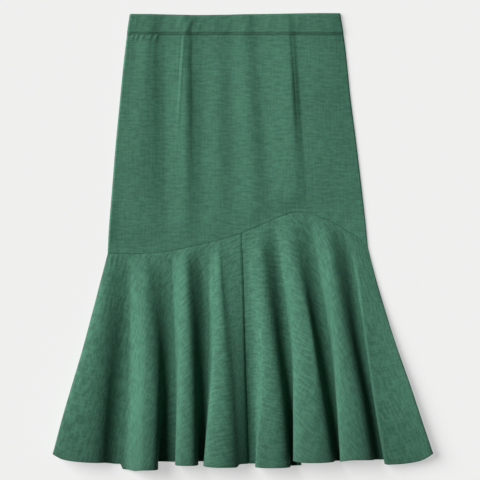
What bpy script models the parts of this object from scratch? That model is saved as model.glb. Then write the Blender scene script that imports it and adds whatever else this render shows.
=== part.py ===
"""Mermaid skirt with a circular-cut fishtail flounce, laid out flat on its back.

+Z is up from the surface that the skirt lies on, +Y points to the waist and +X to the right of
someone who looks down on it. The origin is under the middle of the skirt's box. All lengths are
metres. A drop is a distance down from the waist's top edge, along the skirt.

The back lies flat on the surface and the front lies on the back. The flounce is longer round its
hem than along its seam, so it stands up in folds that run down from the seam and deepen to the
hem. The back flounce is folded in step with the front one and lies nested inside it.
"""

import math
from collections import namedtuple

import bpy

# ------------------------------------------------------------------ driving dimensions

LENGTH = 0.7955  # top of the waistband to the lowest point of the hem
WALL = 0.0012  # one layer of the cloth
BAND_WALL = 0.0024  # doubled cloth over a flat elastic
SEAM_GAP = 0.0003  # left between two pieces
BAND_HEIGHT = 0.0355
WAIST_DIP = 0.002  # the waist's top edge sags this much at its middle
BACK_SEAM_DROP = 0.421  # the back flounce's seam runs straight across
BACK_HEM_SHORT = 0.004  # the back flounce ends this much above the front one's hem

# Heights of the cloth's middle layer
BACK_REST = WALL / 2
FRONT_REST = WALL + SEAM_GAP + WALL / 2
BAND_BACK_REST = BAND_WALL / 2
BAND_FRONT_REST = BAND_WALL + SEAM_GAP + BAND_WALL / 2

# Folds of the flounce
RISE_POWER = 0.66  # how fast a fold rises below the seam
SOFT_FULLNESS = 1.1  # how round a fold's corners are near the seam
BOXY_FULLNESS = 2.1  # and how square near the hem
BOXY_FROM = 0.9  # share of the length at which the folds have become square
CORNER_REACH = 0.004  # least width of a corner
SEAM_FLAT = 0.012  # share of the flounce's length that stays flat along the seam
NEST_SPREAD = 0.0008  # extra room between the layers inside a high fold
NEST_SPREAD_RISE = 0.010  # height at which a fold has that room
BACK_FADE = 0.060  # the back flounce's folds reach their height over this drop
CENTRE_FLOOR = 0.014  # the floor at the centre seam lifts this much halfway down

# Soft relief of the upper front
BAND_BLEND = 0.025  # the panel sinks from the band to its own rest over this drop
SIDE_ROUND_RISE = 0.0008
SIDE_ROUND_WIDTH = 0.010
SIDE_CALM = 0.020  # the panel's folds fade out this near to its sides
SEAM_CALM_ROWS = 2  # rows of the panel over which its relief fades into the flounce's seam
DART_DEPTH = 0.0007
DART_HALF_WIDTH = 0.004
GATHER_RISE = 0.0007  # ripples of the elasticated band

# Points per stretch of a loft
FLANK_STEPS = 2
CROWN_STEPS = 3
CENTRE_STEPS = 3
FLOUNCE_ROWS = 10
PANEL_ROWS = 14
SIDE_STEPS = 12
BETWEEN_DARTS_STEPS = 20
BACK_PANEL_COLUMNS = 6
BAND_COLUMNS = 36
BAND_ROWS = 2

# The left and right sides of the upper panels
Side = namedtuple("Side", "drop left right")
PANEL_SIDES = (
    Side(0.000, -0.2005, 0.1725),
    Side(0.047, -0.2056, 0.1776),
    Side(0.090, -0.2109, 0.1829),
    Side(0.160, -0.2165, 0.1900),
    Side(0.230, -0.2240, 0.1985),
    Side(0.300, -0.2290, 0.2075),
    Side(0.383, -0.2350, 0.2160),
    Side(0.422, -0.2380, 0.2205),
)

# The flounce kinks outwards at its seam
FLOUNCE_SIDES = (
    Side(0.421, -0.2380, 0.2205),
    Side(0.480, -0.2543, 0.2385),
    Side(0.535, -0.2685, 0.2545),
    Side(0.593, -0.2828, 0.2738),
    Side(0.650, -0.2995, 0.2945),
    Side(0.705, -0.3145, 0.3125),
    Side(0.769, -0.3335, 0.3335),
)

# The front's flounce seam climbs to a crest right of the middle
Seam = namedtuple("Seam", "x drop")
FRONT_SEAM = (
    Seam(-0.2380, 0.4210),
    Seam(-0.1900, 0.4215),
    Seam(-0.1400, 0.4178),
    Seam(-0.0900, 0.4078),
    Seam(-0.0450, 0.3983),
    Seam(-0.0040, 0.3868),
    Seam(0.0400, 0.3655),
    Seam(0.0740, 0.3510),
    Seam(0.0940, 0.3474),
    Seam(0.1180, 0.3500),
    Seam(0.1530, 0.3658),
    Seam(0.1840, 0.3868),
    Seam(0.2205, 0.4210),
)

# The hem runs level and turns up to the side seams
HEM = (
    Seam(-0.3335, 0.7690),
    Seam(-0.3140, 0.7795),
    Seam(-0.2850, 0.7845),
    Seam(-0.2500, 0.7860),
    Seam(0.2500, 0.7860),
    Seam(0.2850, 0.7845),
    Seam(0.3140, 0.7795),
    Seam(0.3335, 0.7690),
)

# The seam down the middle of the front flounce lies in the floor between two folds
CENTRE_SEAM_TOP = -0.0026
CENTRE_SEAM_HEM = 0.0079

# The flounce's folds. The three seam columns give a fold's ends and crest along the seam. The next
# five give its feet on the floor, its steepest places and its crest along the hem: an edge that
# reaches past its foot overhangs. Longer is how far its crest hangs below the level hem.
Fold = namedtuple(
    "Fold",
    "seam_left seam_crest seam_right foot_left edge_left crest edge_right foot_right height longer",
)
LEFT_FOLDS = (
    Fold(-0.2370, -0.2330, -0.2125, -0.3290, -0.3295, -0.3195, -0.2505, -0.2445, 0.020, 0.0000),
    Fold(-0.2055, -0.1865, -0.1480, -0.2195, -0.1970, -0.1830, -0.1450, -0.1425, 0.038, 0.0095),
    Fold(-0.1305, -0.1060, -0.0815, -0.1145, -0.1155, -0.1005, -0.0790, -0.0805, 0.034, 0.0030),
    Fold(-0.0655, -0.0430, -0.0255, -0.0640, -0.0640, -0.0445, -0.0080, -0.0025, 0.034, 0.0030),
)
RIGHT_FOLDS = (
    Fold(0.0060, 0.0290, 0.0430, 0.0095, 0.0235, 0.0445, 0.0790, 0.0820, 0.033, 0.0040),
    Fold(0.0445, 0.0780, 0.1005, 0.0900, 0.0885, 0.1095, 0.1550, 0.1620, 0.034, 0.0000),
    Fold(0.1025, 0.1410, 0.1690, 0.1725, 0.1705, 0.1900, 0.2230, 0.2285, 0.032, -0.0030),
    Fold(0.1795, 0.1970, 0.2190, 0.2475, 0.2450, 0.2565, 0.3315, 0.3310, 0.017, 0.0010),
)

# The tops and sides of those folds at the hem. Square says how square a shoulder is, from 0 to 1,
# and level the share of the fold's height at which that side stands steepest. Tilt is how fast the
# crest falls to the right. A floor is the height that the foot lifts to, halfway down. Drift says
# how soon the left side reaches its place at the hem, from 0, evenly, to 1, early.
Top = namedtuple(
    "Top",
    "square_left square_right level_left level_right tilt floor_left floor_right drift",
)
LEFT_TOPS = (
    Top(1.0, 0.5, 0.70, 0.50, 0.05, 0.000, 0.000, 0.0),
    Top(0.3, 1.0, 0.60, 0.50, 0.00, 0.000, 0.000, 0.0),
    Top(1.0, 0.8, 0.60, 0.50, 0.00, 0.000, 0.000, 0.0),
    Top(1.0, 0.7, 0.60, 0.50, 0.00, 0.000, CENTRE_FLOOR, 0.0),
)
RIGHT_TOPS = (
    Top(0.4, 0.9, 0.65, 0.50, 0.00, CENTRE_FLOOR, 0.000, 0.0),
    Top(1.0, 1.0, 0.60, 0.50, 0.00, 0.000, 0.000, 0.8),
    Top(1.0, 0.8, 0.60, 0.50, 0.00, 0.000, 0.000, 0.6),
    Top(1.0, 1.0, 0.60, 0.40, 0.11, 0.000, 0.000, 0.0),
)

# Soft upright folds of the front panel
Ridge = namedtuple("Ridge", "top_x low_x width height end_drop")
PANEL_RIDGES = (
    Ridge(-0.183, -0.192, 0.014, 0.0026, 0.36),
    Ridge(-0.113, -0.115, 0.010, 0.0024, 0.36),
    Ridge(-0.059, -0.057, 0.012, 0.0024, 0.34),
    Ridge(-0.008, -0.003, 0.012, 0.0020, 0.36),
    Ridge(0.060, 0.067, 0.020, 0.0026, 0.32),
    Ridge(0.118, 0.127, 0.012, 0.0022, 0.30),
)

# The waist darts, stitched from the band down
Dart = namedtuple("Dart", "top_x low_x end_drop")
DARTS = (
    Dart(-0.1050, -0.1060, 0.290),
    Dart(0.0850, 0.0990, 0.225),
)

# Ripples across the band, each where the elastic draws the cloth in
Gather = namedtuple("Gather", "x width")
GATHERS = (
    Gather(-0.178, 0.008),
    Gather(-0.139, 0.007),
    Gather(-0.104, 0.009),
    Gather(-0.062, 0.008),
    Gather(-0.012, 0.010),
    Gather(0.038, 0.009),
    Gather(0.086, 0.008),
    Gather(0.131, 0.007),
)

CLOTH_COLOUR = (0.060, 0.178, 0.112, 1.0)
BAND_COLOUR = (0.055, 0.165, 0.104, 1.0)
CLOTH_ROUGHNESS = 0.86
SHARP_ANGLE = math.radians(50)  # shading breaks only at the cloth's cut edges

# ------------------------------------------------------------------ small helpers


def mix(start, end, share):
    """The value a share of the way from start to end."""
    return start + (end - start) * share


def ease(share):
    """A soft step from 0 to 1."""
    share = min(max(share, 0.0), 1.0)
    return share * share * (3.0 - 2.0 * share)


def hermite(start, start_slope, end, end_slope, share):
    """A point on the cubic that leaves start and reaches end at the given slopes."""
    square = share * share
    cube = square * share
    return (
        (2 * cube - 3 * square + 1) * start
        + (cube - 2 * square + share) * start_slope
        + (3 * square - 2 * cube) * end
        + (cube - square) * end_slope
    )


def read_table(rows, key, column, place):
    """A column's value at a place between a table's rows, on a smooth curve through them."""
    keys = [getattr(row, key) for row in rows]
    values = [getattr(row, column) for row in rows]
    last = len(rows) - 1
    place = min(max(place, keys[0]), keys[last])

    def slope(row):
        before = max(row - 1, 0)
        after = min(row + 1, last)
        return (values[after] - values[before]) / (keys[after] - keys[before])

    row = max(index for index in range(last) if keys[index] <= place)
    span = keys[row + 1] - keys[row]
    share = (place - keys[row]) / span
    return hermite(values[row], slope(row) * span, values[row + 1], slope(row + 1) * span, share)


def spread(start, end, steps):
    """Evenly spaced values from start to end."""
    return [mix(start, end, step / steps) for step in range(steps + 1)]


def flounce_levels():
    """Shares of the flounce's length for its rows: a flat strip by the seam, then even steps."""
    return [0.0] + spread(SEAM_FLAT, 1.0, FLOUNCE_ROWS)


def place(x, drop, height):
    """A point of the laid-out skirt."""
    return (x, LENGTH / 2 - drop, height)


def front_seam(x):
    """Drop of the seam between the front panel and the front flounce."""
    return read_table(FRONT_SEAM, "x", "drop", x)


def hem(x):
    """Drop of the level hem, without the folds' own lengths."""
    return read_table(HEM, "x", "drop", x)


def waist_top(x):
    """Drop of the band's top edge, which sags a little between its ends."""
    left = PANEL_SIDES[0].left
    right = PANEL_SIDES[0].right
    share = (x - left) / (right - left)
    return WAIST_DIP * math.sin(math.pi * min(max(share, 0.0), 1.0))


# ------------------------------------------------------------------ making the pieces


def make_material(name, colour):
    material = bpy.data.materials.new(name)
    material.use_nodes = True
    shader = material.node_tree.nodes["Principled BSDF"]
    shader.inputs["Base Color"].default_value = colour
    shader.inputs["Roughness"].default_value = CLOTH_ROUGHNESS
    shader.inputs["Metallic"].default_value = 0.0
    material.diffuse_color = colour
    return material


def make_cloth(name, rows, wall, colour):
    """Loft rows of points, left to right and top to bottom, and give the sheet its wall."""
    width = len(rows[0])
    points = [point for row in rows for point in row]
    faces = []
    for row in range(len(rows) - 1):
        for column in range(width - 1):
            corner = row * width + column
            faces.append((corner, corner + width, corner + width + 1, corner + 1))
    mesh = bpy.data.meshes.new(name)
    mesh.from_pydata(points, [], faces)
    mesh.shade_smooth()
    mesh.set_sharp_from_angle(angle=SHARP_ANGLE)
    piece = bpy.data.objects.new(name, mesh)
    skirt_collection.objects.link(piece)
    piece.data.materials.append(make_material(name + "_cloth", colour))
    solid = piece.modifiers.new("Wall", "SOLIDIFY")
    solid.thickness = wall
    solid.offset = 0.0
    solid.use_even_offset = True
    return piece


# ------------------------------------------------------------------ the flounce


# Lean is None on level ground and at a crest; elsewhere 0 stands upright and 1 leans fully
Station = namedtuple("Station", "x height lean tilt fullness")


def fold_stations(fold, top, share):
    """Foot, edge, crest, edge and foot of a fold at a share of its length."""
    rise = fold.height * max((share - SEAM_FLAT) / (1.0 - SEAM_FLAT), 0.0) ** RISE_POWER
    settled = 1.0 - (1.0 - share) ** 2
    drifted = mix(share, settled, top.drift)
    foot_left = mix(fold.seam_left, fold.foot_left, drifted)
    foot_right = mix(fold.seam_right, fold.foot_right, share)
    crest = mix(fold.seam_crest, fold.crest, drifted)
    left_run = mix((fold.seam_crest - fold.seam_left) / 2, fold.edge_left - fold.foot_left, settled)
    right_run = mix((fold.seam_right - fold.seam_crest) / 2, fold.foot_right - fold.edge_right, settled)
    squared = ease(share / BOXY_FROM)
    left = squared * top.square_left
    right = squared * top.square_right
    left_fullness = mix(SOFT_FULLNESS, BOXY_FULLNESS, left)
    right_fullness = mix(SOFT_FULLNESS, BOXY_FULLNESS, right)
    left_floor = floor_rise(top.floor_left, share)
    right_floor = floor_rise(top.floor_right, share)
    left_edge = mix(left_floor, rise, mix(0.5, top.level_left, squared))
    right_edge = mix(right_floor, rise, mix(0.5, top.level_right, squared))
    return [
        Station(foot_left, left_floor, None, 0.0, left_fullness),
        Station(foot_left + left_run, left_edge, 1.0 - left, 0.0, left_fullness),
        Station(crest, rise, None, top.tilt * squared, right_fullness),
        Station(foot_right - right_run, right_edge, 1.0 - right, 0.0, right_fullness),
        Station(foot_right, right_floor, None, 0.0, SOFT_FULLNESS),
    ]


def floor_rise(height, share):
    """Height of a floor that is flat at the seam and the hem and lifts to height halfway."""
    return height * 4.0 * share * (1.0 - share)


def station_slopes(stations, index, here, there):
    """Slopes (across, up) of the section at a station, scaled for the stretch from here to there."""
    station = stations[index]
    if station.lean is None:
        reach = max(abs(there.x - here.x), CORNER_REACH) * here.fullness
        return reach, -station.tilt * reach
    across = (stations[index + 1].x - stations[index - 1].x) / 2 * station.lean
    up = (stations[index + 1].height - stations[index - 1].height) / 2
    climb = there.height - here.height
    return across * (climb / up if up else 1.0), climb * here.fullness


def half_section(half, share):
    """(x, height) across half the flounce, from left to right, at a share of its length."""
    side_drop = mix(FLOUNCE_SIDES[0].drop, FLOUNCE_SIDES[-1].drop, share)
    centre_x = mix(CENTRE_SEAM_TOP, CENTRE_SEAM_HEM, share)
    centre_height = floor_rise(CENTRE_FLOOR, share)
    if half.centre_at_end:
        ends = (
            Station(read_table(FLOUNCE_SIDES, "drop", "left", side_drop), 0.0, None, 0.0, SOFT_FULLNESS),
            Station(centre_x - SEAM_GAP / 2, centre_height, None, 0.0, SOFT_FULLNESS),
        )
        end_steps = (1, CENTRE_STEPS)
    else:
        ends = (
            Station(centre_x + SEAM_GAP / 2, centre_height, None, 0.0, SOFT_FULLNESS),
            Station(read_table(FLOUNCE_SIDES, "drop", "right", side_drop), 0.0, None, 0.0, SOFT_FULLNESS),
        )
        end_steps = (CENTRE_STEPS, 1)
    stations = [ends[0]]
    steps = [end_steps[0]]
    for fold, top in zip(half.folds, half.tops):
        stations += fold_stations(fold, top, share)
        steps += [FLANK_STEPS, CROWN_STEPS, CROWN_STEPS, FLANK_STEPS, 1]
    stations.append(ends[1])
    steps[-1] = end_steps[1]
    line = []
    for index, count in enumerate(steps):
        here = stations[index]
        there = stations[index + 1]
        across, up = station_slopes(stations, index, here, there)
        next_across, next_up = station_slopes(stations, index + 1, here, there)
        for step in range(count):
            part = step / count
            line.append(
                (
                    hermite(here.x, across, there.x, next_across, part),
                    hermite(here.height, up, there.height, next_up, part),
                )
            )
    line.append((stations[-1].x, stations[-1].height))
    return line


class FlounceHalf:
    """The front flounce on one side of its centre seam, as a surface of column and share."""

    def __init__(self, folds, tops, centre_at_end):
        self.folds = folds
        self.tops = tops
        self.centre_at_end = centre_at_end
        seam_line = half_section(self, 0.0)
        hem_line = half_section(self, 1.0)
        self.count = len(seam_line)
        self.seam_drops = [front_seam(x) for x, _ in seam_line]
        self.hem_drops = [hem(x) + self.hang(x, height) for x, height in hem_line]

    def hang(self, x, height):
        """How far a fold's crest hangs below the level hem."""
        for fold in self.folds:
            if fold.foot_left <= x <= fold.foot_right or fold.edge_left <= x <= fold.edge_right:
                return fold.longer * height / fold.height
        return 0.0

    def point(self, column, share):
        """(x, drop, height over the floor) of one column at a share of its length."""
        drop = mix(self.seam_drops[column], self.hem_drops[column], share)
        x, height = half_section(self, share)[column]
        side_drop = mix(FLOUNCE_SIDES[0].drop, FLOUNCE_SIDES[-1].drop, share)
        bow = read_table(FLOUNCE_SIDES, "drop", "right", side_drop) - mix(
            FLOUNCE_SIDES[0].right, FLOUNCE_SIDES[-1].right, share
        )
        if column not in (0, self.count - 1):
            x += bow * x / FLOUNCE_SIDES[-1].right
        return x, drop, height

    def share_at(self, column, drop):
        seam_drop = self.seam_drops[column]
        return (drop - seam_drop) / (self.hem_drops[column] - seam_drop)


def make_front_flounce(name, half):
    rows = []
    for share in flounce_levels():
        row = []
        for column in range(half.count):
            x, drop, height = half.point(column, share)
            seam_step = SEAM_GAP / 2 * (1.0 - share)
            row.append(place(x, drop + seam_step, FRONT_REST + height))
        rows.append(row)
    return make_cloth(name, rows, WALL, CLOTH_COLOUR)


def nest(line):
    """Move a section of (x, height) down to the layer that lies inside it, at an even distance."""
    nested = []
    last = len(line) - 1
    for index, (x, height) in enumerate(line):
        before = line[max(index - 1, 0)]
        after = line[min(index + 1, last)]
        normals = []
        for start, end in ((before, line[index]), (line[index], after)):
            run = math.dist(start, end)
            if run > 0.0:
                normals.append(((start[1] - end[1]) / run, (end[0] - start[0]) / run))
        across = sum(normal[0] for normal in normals)
        up = sum(normal[1] for normal in normals)
        size = math.hypot(across, up)
        mitre = 2.0 / size if len(normals) == 2 else 1.0
        room = FRONT_REST - BACK_REST + NEST_SPREAD * ease((height - FRONT_REST) / NEST_SPREAD_RISE)
        nested.append((x - across / size * room * mitre, height - up / size * room * mitre))
    return nested


def make_back_flounce(name, left, right):
    """The back flounce, folded in step with the front one and a little shorter."""
    columns = [(left, column) for column in range(left.count - 1)]
    columns += [(right, column) for column in range(1, right.count)]
    rows = []
    for level in flounce_levels():
        line = []
        drops = []
        for half, column in columns:
            top = BACK_SEAM_DROP + SEAM_GAP / 2
            drop = mix(top, half.hem_drops[column] - BACK_HEM_SHORT, level)
            share = min(max(half.share_at(column, drop), 0.0), 1.0)
            x, _, height = half.point(column, share)
            line.append((x, FRONT_REST + height))
            drops.append(drop)
        row = []
        for (x, height), drop in zip(nest(line), drops):
            risen = ease((drop - BACK_SEAM_DROP) / BACK_FADE)
            row.append(place(x, drop, BACK_REST + max(height - BACK_REST, 0.0) * risen))
        rows.append(row)
    return make_cloth(name, rows, WALL, CLOTH_COLOUR)


# ------------------------------------------------------------------ the upper panels


def panel_x(left_share, drop):
    """X of a place that is a share of the way from the left side to the right one."""
    left = read_table(PANEL_SIDES, "drop", "left", drop)
    right = read_table(PANEL_SIDES, "drop", "right", drop)
    return mix(left, right, left_share)


def panel_relief(x, drop):
    """Height of the front panel over its rest: soft folds, darts and rounded sides."""
    relief = 0.0
    for ridge in PANEL_RIDGES:
        middle = mix(ridge.top_x, ridge.low_x, drop / ridge.end_drop)
        fade = ease(1.0 - drop / ridge.end_drop)
        relief += ridge.height * fade * math.exp(-(((x - middle) / ridge.width) ** 2))
    for dart in DARTS:
        middle = mix(dart.top_x, dart.low_x, drop / dart.end_drop)
        fade = ease((dart.end_drop - drop) / dart.end_drop)
        relief -= DART_DEPTH * fade * max(0.0, 1.0 - abs(x - middle) / DART_HALF_WIDTH)
    from_side = min(
        x - read_table(PANEL_SIDES, "drop", "left", drop),
        read_table(PANEL_SIDES, "drop", "right", drop) - x,
    )
    return relief * ease(from_side / SIDE_CALM) + SIDE_ROUND_RISE * ease(from_side / SIDE_ROUND_WIDTH)


def panel_guides(drop):
    """X of each column of the front panel: even steps between the sides and the two darts."""
    left = read_table(PANEL_SIDES, "drop", "left", drop)
    right = read_table(PANEL_SIDES, "drop", "right", drop)
    guides = [(left, SIDE_STEPS)]
    for dart, steps_after in zip(DARTS, (BETWEEN_DARTS_STEPS, SIDE_STEPS)):
        middle = mix(dart.top_x, dart.low_x, drop / dart.end_drop)
        guides += [(middle - DART_HALF_WIDTH, 1), (middle, 1), (middle + DART_HALF_WIDTH, steps_after)]
    line = []
    for (start, steps), (end, _) in zip(guides, guides[1:] + [(right, 1)]):
        line += spread(start, end, steps)[:-1]
    return line + [right]


def make_front_panel():
    rows = []
    for share in spread(0.0, 1.0, PANEL_ROWS):
        side_drop = mix(BAND_HEIGHT + SEAM_GAP / 2, PANEL_SIDES[-1].drop, share)
        row = []
        for x in panel_guides(side_drop):
            top = BAND_HEIGHT + waist_top(x) + SEAM_GAP / 2
            drop = mix(top, front_seam(x) - SEAM_GAP / 2, share)
            sunk = ease((drop - top) / BAND_BLEND)
            rest = mix(BAND_FRONT_REST, FRONT_REST, sunk)
            to_seam = ease((1.0 - share) * PANEL_ROWS / SEAM_CALM_ROWS)
            row.append(place(x, drop, rest + panel_relief(x, drop) * sunk * to_seam))
        rows.append(row)
    return make_cloth("skirt_front", rows, WALL, CLOTH_COLOUR)


def make_back_panel():
    rows = []
    for share in spread(0.0, 1.0, PANEL_ROWS):
        row = []
        for left_share in spread(0.0, 1.0, BACK_PANEL_COLUMNS):
            side_drop = mix(BAND_HEIGHT + SEAM_GAP / 2, BACK_SEAM_DROP - SEAM_GAP / 2, share)
            x = panel_x(left_share, side_drop)
            top = BAND_HEIGHT + waist_top(x) + SEAM_GAP / 2
            drop = mix(top, BACK_SEAM_DROP - SEAM_GAP / 2, share)
            row.append(place(x, drop, BACK_REST))
        rows.append(row)
    return make_cloth("skirt_back", rows, WALL, CLOTH_COLOUR)


def make_band(name, rest, ripple):
    """One half of the waistband, with the elastic's ripples where it lies on top."""
    rows = []
    for share in spread(0.0, 1.0, BAND_ROWS):
        row = []
        for left_share in spread(0.0, 1.0, BAND_COLUMNS):
            x = panel_x(left_share, BAND_HEIGHT * share)
            drop = waist_top(x) + (BAND_HEIGHT - SEAM_GAP / 2) * share
            height = rest
            for gather in GATHERS:
                height += ripple * math.exp(-(((x - gather.x) / gather.width) ** 2))
            row.append(place(x, drop, height))
        rows.append(row)
    return make_cloth(name, rows, BAND_WALL, BAND_COLOUR)


# ------------------------------------------------------------------ the skirt

for old in list(bpy.data.objects):
    bpy.data.objects.remove(old)

skirt_collection = bpy.data.collections.new("mermaid_fishtail_skirt")
bpy.context.scene.collection.children.link(skirt_collection)

left_half = FlounceHalf(LEFT_FOLDS, LEFT_TOPS, centre_at_end=True)
right_half = FlounceHalf(RIGHT_FOLDS, RIGHT_TOPS, centre_at_end=False)

make_band("waistband_front", BAND_FRONT_REST, GATHER_RISE)
make_band("waistband_back", BAND_BACK_REST, 0.0)
make_front_panel()
make_back_panel()
make_front_flounce("flounce_front_left", left_half)
make_front_flounce("flounce_front_right", right_half)
make_back_flounce("flounce_back", left_half, right_half)
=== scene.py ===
# %% [markdown]
# # A mermaid skirt, laid out flat
#
# The real thing is a pull-on midi skirt: an elasticated band, a smooth hip panel with two darts and
# a circular-cut flounce that leaves the hip on a lopsided curved seam. It lies on its back on a pale
# table. The seven solids of the frame give every piece its place and its size. This lesson turns
# each one into thin cloth with a weave, soft creases, seams and stitches.
#
# First we load the frame and keep its solids by name.

# %% Load the frame
import math
from collections import namedtuple

import bpy
import numpy as np
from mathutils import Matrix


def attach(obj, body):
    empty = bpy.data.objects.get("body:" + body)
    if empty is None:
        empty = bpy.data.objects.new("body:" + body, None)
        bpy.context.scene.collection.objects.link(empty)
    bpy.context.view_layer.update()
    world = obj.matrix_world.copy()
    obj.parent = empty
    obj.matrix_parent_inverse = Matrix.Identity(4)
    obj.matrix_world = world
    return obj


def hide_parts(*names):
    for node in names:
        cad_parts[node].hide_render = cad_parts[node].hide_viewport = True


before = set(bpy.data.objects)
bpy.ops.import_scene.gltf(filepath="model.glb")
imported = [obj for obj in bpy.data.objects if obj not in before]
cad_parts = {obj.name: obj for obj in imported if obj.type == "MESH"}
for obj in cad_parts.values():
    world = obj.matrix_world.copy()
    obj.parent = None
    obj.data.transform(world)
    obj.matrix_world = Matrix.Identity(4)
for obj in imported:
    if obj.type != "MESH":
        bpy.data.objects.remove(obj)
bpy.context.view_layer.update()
print("nodes:", ", ".join(sorted(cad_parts)))

# %% [markdown]
# ## The view
#
# Clothes for a shop are laid on a table and seen straight from above. A camera without any turn
# looks down the Z axis with +Y at the top of the picture. It hangs high and uses a long lens, so
# that the folds near the sides don't lean outwards.

# %% Camera
CAMERA_HEIGHT = 4.5
CAMERA_OVER = (-0.0044, 0.0005)  # the spot on the table that it hangs over
VIEW_WIDTH = 0.84  # how much of the table the picture spans
SENSOR_MM = 36.0

camera = bpy.data.objects.new("camera", bpy.data.cameras.new("camera"))
camera.data.sensor_width = SENSOR_MM
camera.data.lens = SENSOR_MM * CAMERA_HEIGHT / VIEW_WIDTH
camera.location = (*CAMERA_OVER, CAMERA_HEIGHT)
bpy.context.scene.collection.objects.link(camera)
bpy.context.scene.camera = camera
print("lens:", round(camera.data.lens, 1), "mm")

# %% [markdown]
# ## Light and table
#
# One big soft window high on the left draws every fold: the flanks that face it turn light, the far
# flanks dark. A sun lamp with a wide disc gives the same light all over the table, where a nearby
# area lamp would fade from left to right. Very little light comes from elsewhere, or the valleys
# would go flat. The table is white card that glows a little, so its shadows stay pale.

# %% Light and table
KEY_FROM = (-2.6, 1.2, 1.9)
KEY_STRENGTH = 5.8
KEY_DISC = 0.80  # radians across
FILL_STRENGTH = 0.024
FILL_WHITE = (1.0, 1.0, 1.0, 1.0)
TABLE_FINISH = (
    ("Base Color", (0.345, 0.345, 0.342, 1.0)),
    ("Roughness", 0.95),
    ("Specular IOR Level", 0.1),
    ("Emission Color", (1.0, 1.0, 0.995, 1.0)),
    ("Emission Strength", 0.50),
)
TABLE_SIZE = 6.0
TABLE_TOP = -0.0003  # just under the cloth


def set_sockets(shader, sockets):
    """Set the sockets of a shader that hold one value all over."""
    for socket, value in sockets:
        shader.inputs[socket].default_value = value


def add_key():
    lamp = bpy.data.lights.new("window", "SUN")
    lamp.energy = KEY_STRENGTH
    lamp.angle = KEY_DISC
    key = bpy.data.objects.new("window", lamp)
    key.location = KEY_FROM
    azimuth = math.atan2(KEY_FROM[0], -KEY_FROM[1])
    lean = math.atan2(math.hypot(KEY_FROM[0], KEY_FROM[1]), KEY_FROM[2])
    key.rotation_euler = (lean, 0.0, azimuth)
    bpy.context.scene.collection.objects.link(key)


def add_table():
    half = TABLE_SIZE / 2
    corners = [(-half, -half), (half, -half), (half, half), (-half, half)]
    mesh = bpy.data.meshes.new("table")
    mesh.from_pydata([(x, y, TABLE_TOP) for x, y in corners], [], [(0, 1, 2, 3)])
    table = bpy.data.objects.new("table", mesh)
    bpy.context.scene.collection.objects.link(table)
    card = bpy.data.materials.new("white_card")
    card.use_nodes = True
    set_sockets(card.node_tree.nodes["Principled BSDF"], TABLE_FINISH)
    mesh.materials.append(card)


add_key()
add_table()
world = bpy.data.worlds.new("fill")
world.use_nodes = True
fill = (("Color", FILL_WHITE), ("Strength", FILL_STRENGTH))
set_sockets(world.node_tree.nodes["Background"], fill)
bpy.context.scene.world = world
bpy.context.scene.view_settings.view_transform = "Standard"
print("key:", KEY_STRENGTH, "W/m2, fill:", FILL_STRENGTH)

# %% [markdown]
# ## A linen-look weave
#
# The cloth is a plain weave of uneven yarns. Where a yarn swells into a slub, it shows as a short
# pale dash along the weft, with fainter dashes along the warp. Every piece carries a UV map called
# Cut that holds its place on the flat cloth in metres, so the dashes follow the grain of each cut
# piece, also on the flounce, where the grain turns.
#
# A picture of cloth would be quicker, but it repeats and it blurs from close by. Noise that is
# stretched along the yarns does neither. Two sizes of it make the weft, one the warp, and a very
# large one the uneven dye. We add them up with different weights.

# %% Slubs
WEFT_SLUB = (56.0, 245.0)  # noise cells per metre, along the weft and across it
WEFT_FINE = (150.0, 640.0)
WARP_SLUB = (330.0, 30.0)
PATCH = (9.0, 13.0)
NOISE_ROUGHNESS = 0.6


def stretched_noise(nodes, links, place, name, cells, detail=2.0):
    """Noise on the flat cloth with this many cells per metre in each direction."""
    scale = nodes.new("ShaderNodeVectorMath")
    scale.operation = "MULTIPLY"
    scale.name = name + " scale"
    scale.inputs[1].default_value = (cells[0], cells[1], 1.0)
    links.new(place, scale.inputs[0])
    noise = nodes.new("ShaderNodeTexNoise")
    noise.name = name
    noise.noise_dimensions = "2D"
    noise.inputs["Scale"].default_value = 1.0
    noise.inputs["Detail"].default_value = detail
    noise.inputs["Roughness"].default_value = NOISE_ROUGHNESS
    links.new(scale.outputs["Vector"], noise.inputs["Vector"])
    return noise.outputs["Fac"]


def weighted_sum(nodes, links, parts):
    """Sum of (value, weight) pairs."""
    total = None
    for value, weight in parts:
        step = nodes.new("ShaderNodeMath")
        step.operation = "MULTIPLY_ADD"
        step.inputs[1].default_value = weight
        links.new(value, step.inputs[0])
        if total is None:
            step.inputs[2].default_value = 0.0
        else:
            links.new(total, step.inputs[2])
        total = step.outputs["Value"]
    return total


print("weft slubs, mm:", [round(1000 / cells, 1) for cells in WEFT_SLUB])

# %% [markdown]
# ## Single yarns
#
# From close by, a plain weave is a fine grid. It is far too fine to draw thread by thread. One sine
# wave across the warp and one across the weft give the grid in the bump, where the light picks it
# out, and leave the colour alone.

# %% Single yarns
YARN_PITCH = 0.0007


def yarn_wave(nodes, links, coordinate):
    """A sine across the yarns, one wave per yarn."""
    turn = nodes.new("ShaderNodeMath")
    turn.operation = "MULTIPLY"
    turn.inputs[1].default_value = 2 * math.pi / YARN_PITCH
    links.new(coordinate, turn.inputs[0])
    wave = nodes.new("ShaderNodeMath")
    wave.operation = "SINE"
    links.new(turn.outputs["Value"], wave.inputs[0])
    return wave.outputs["Value"]


print("yarns per centimetre:", round(0.01 / YARN_PITCH))
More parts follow.
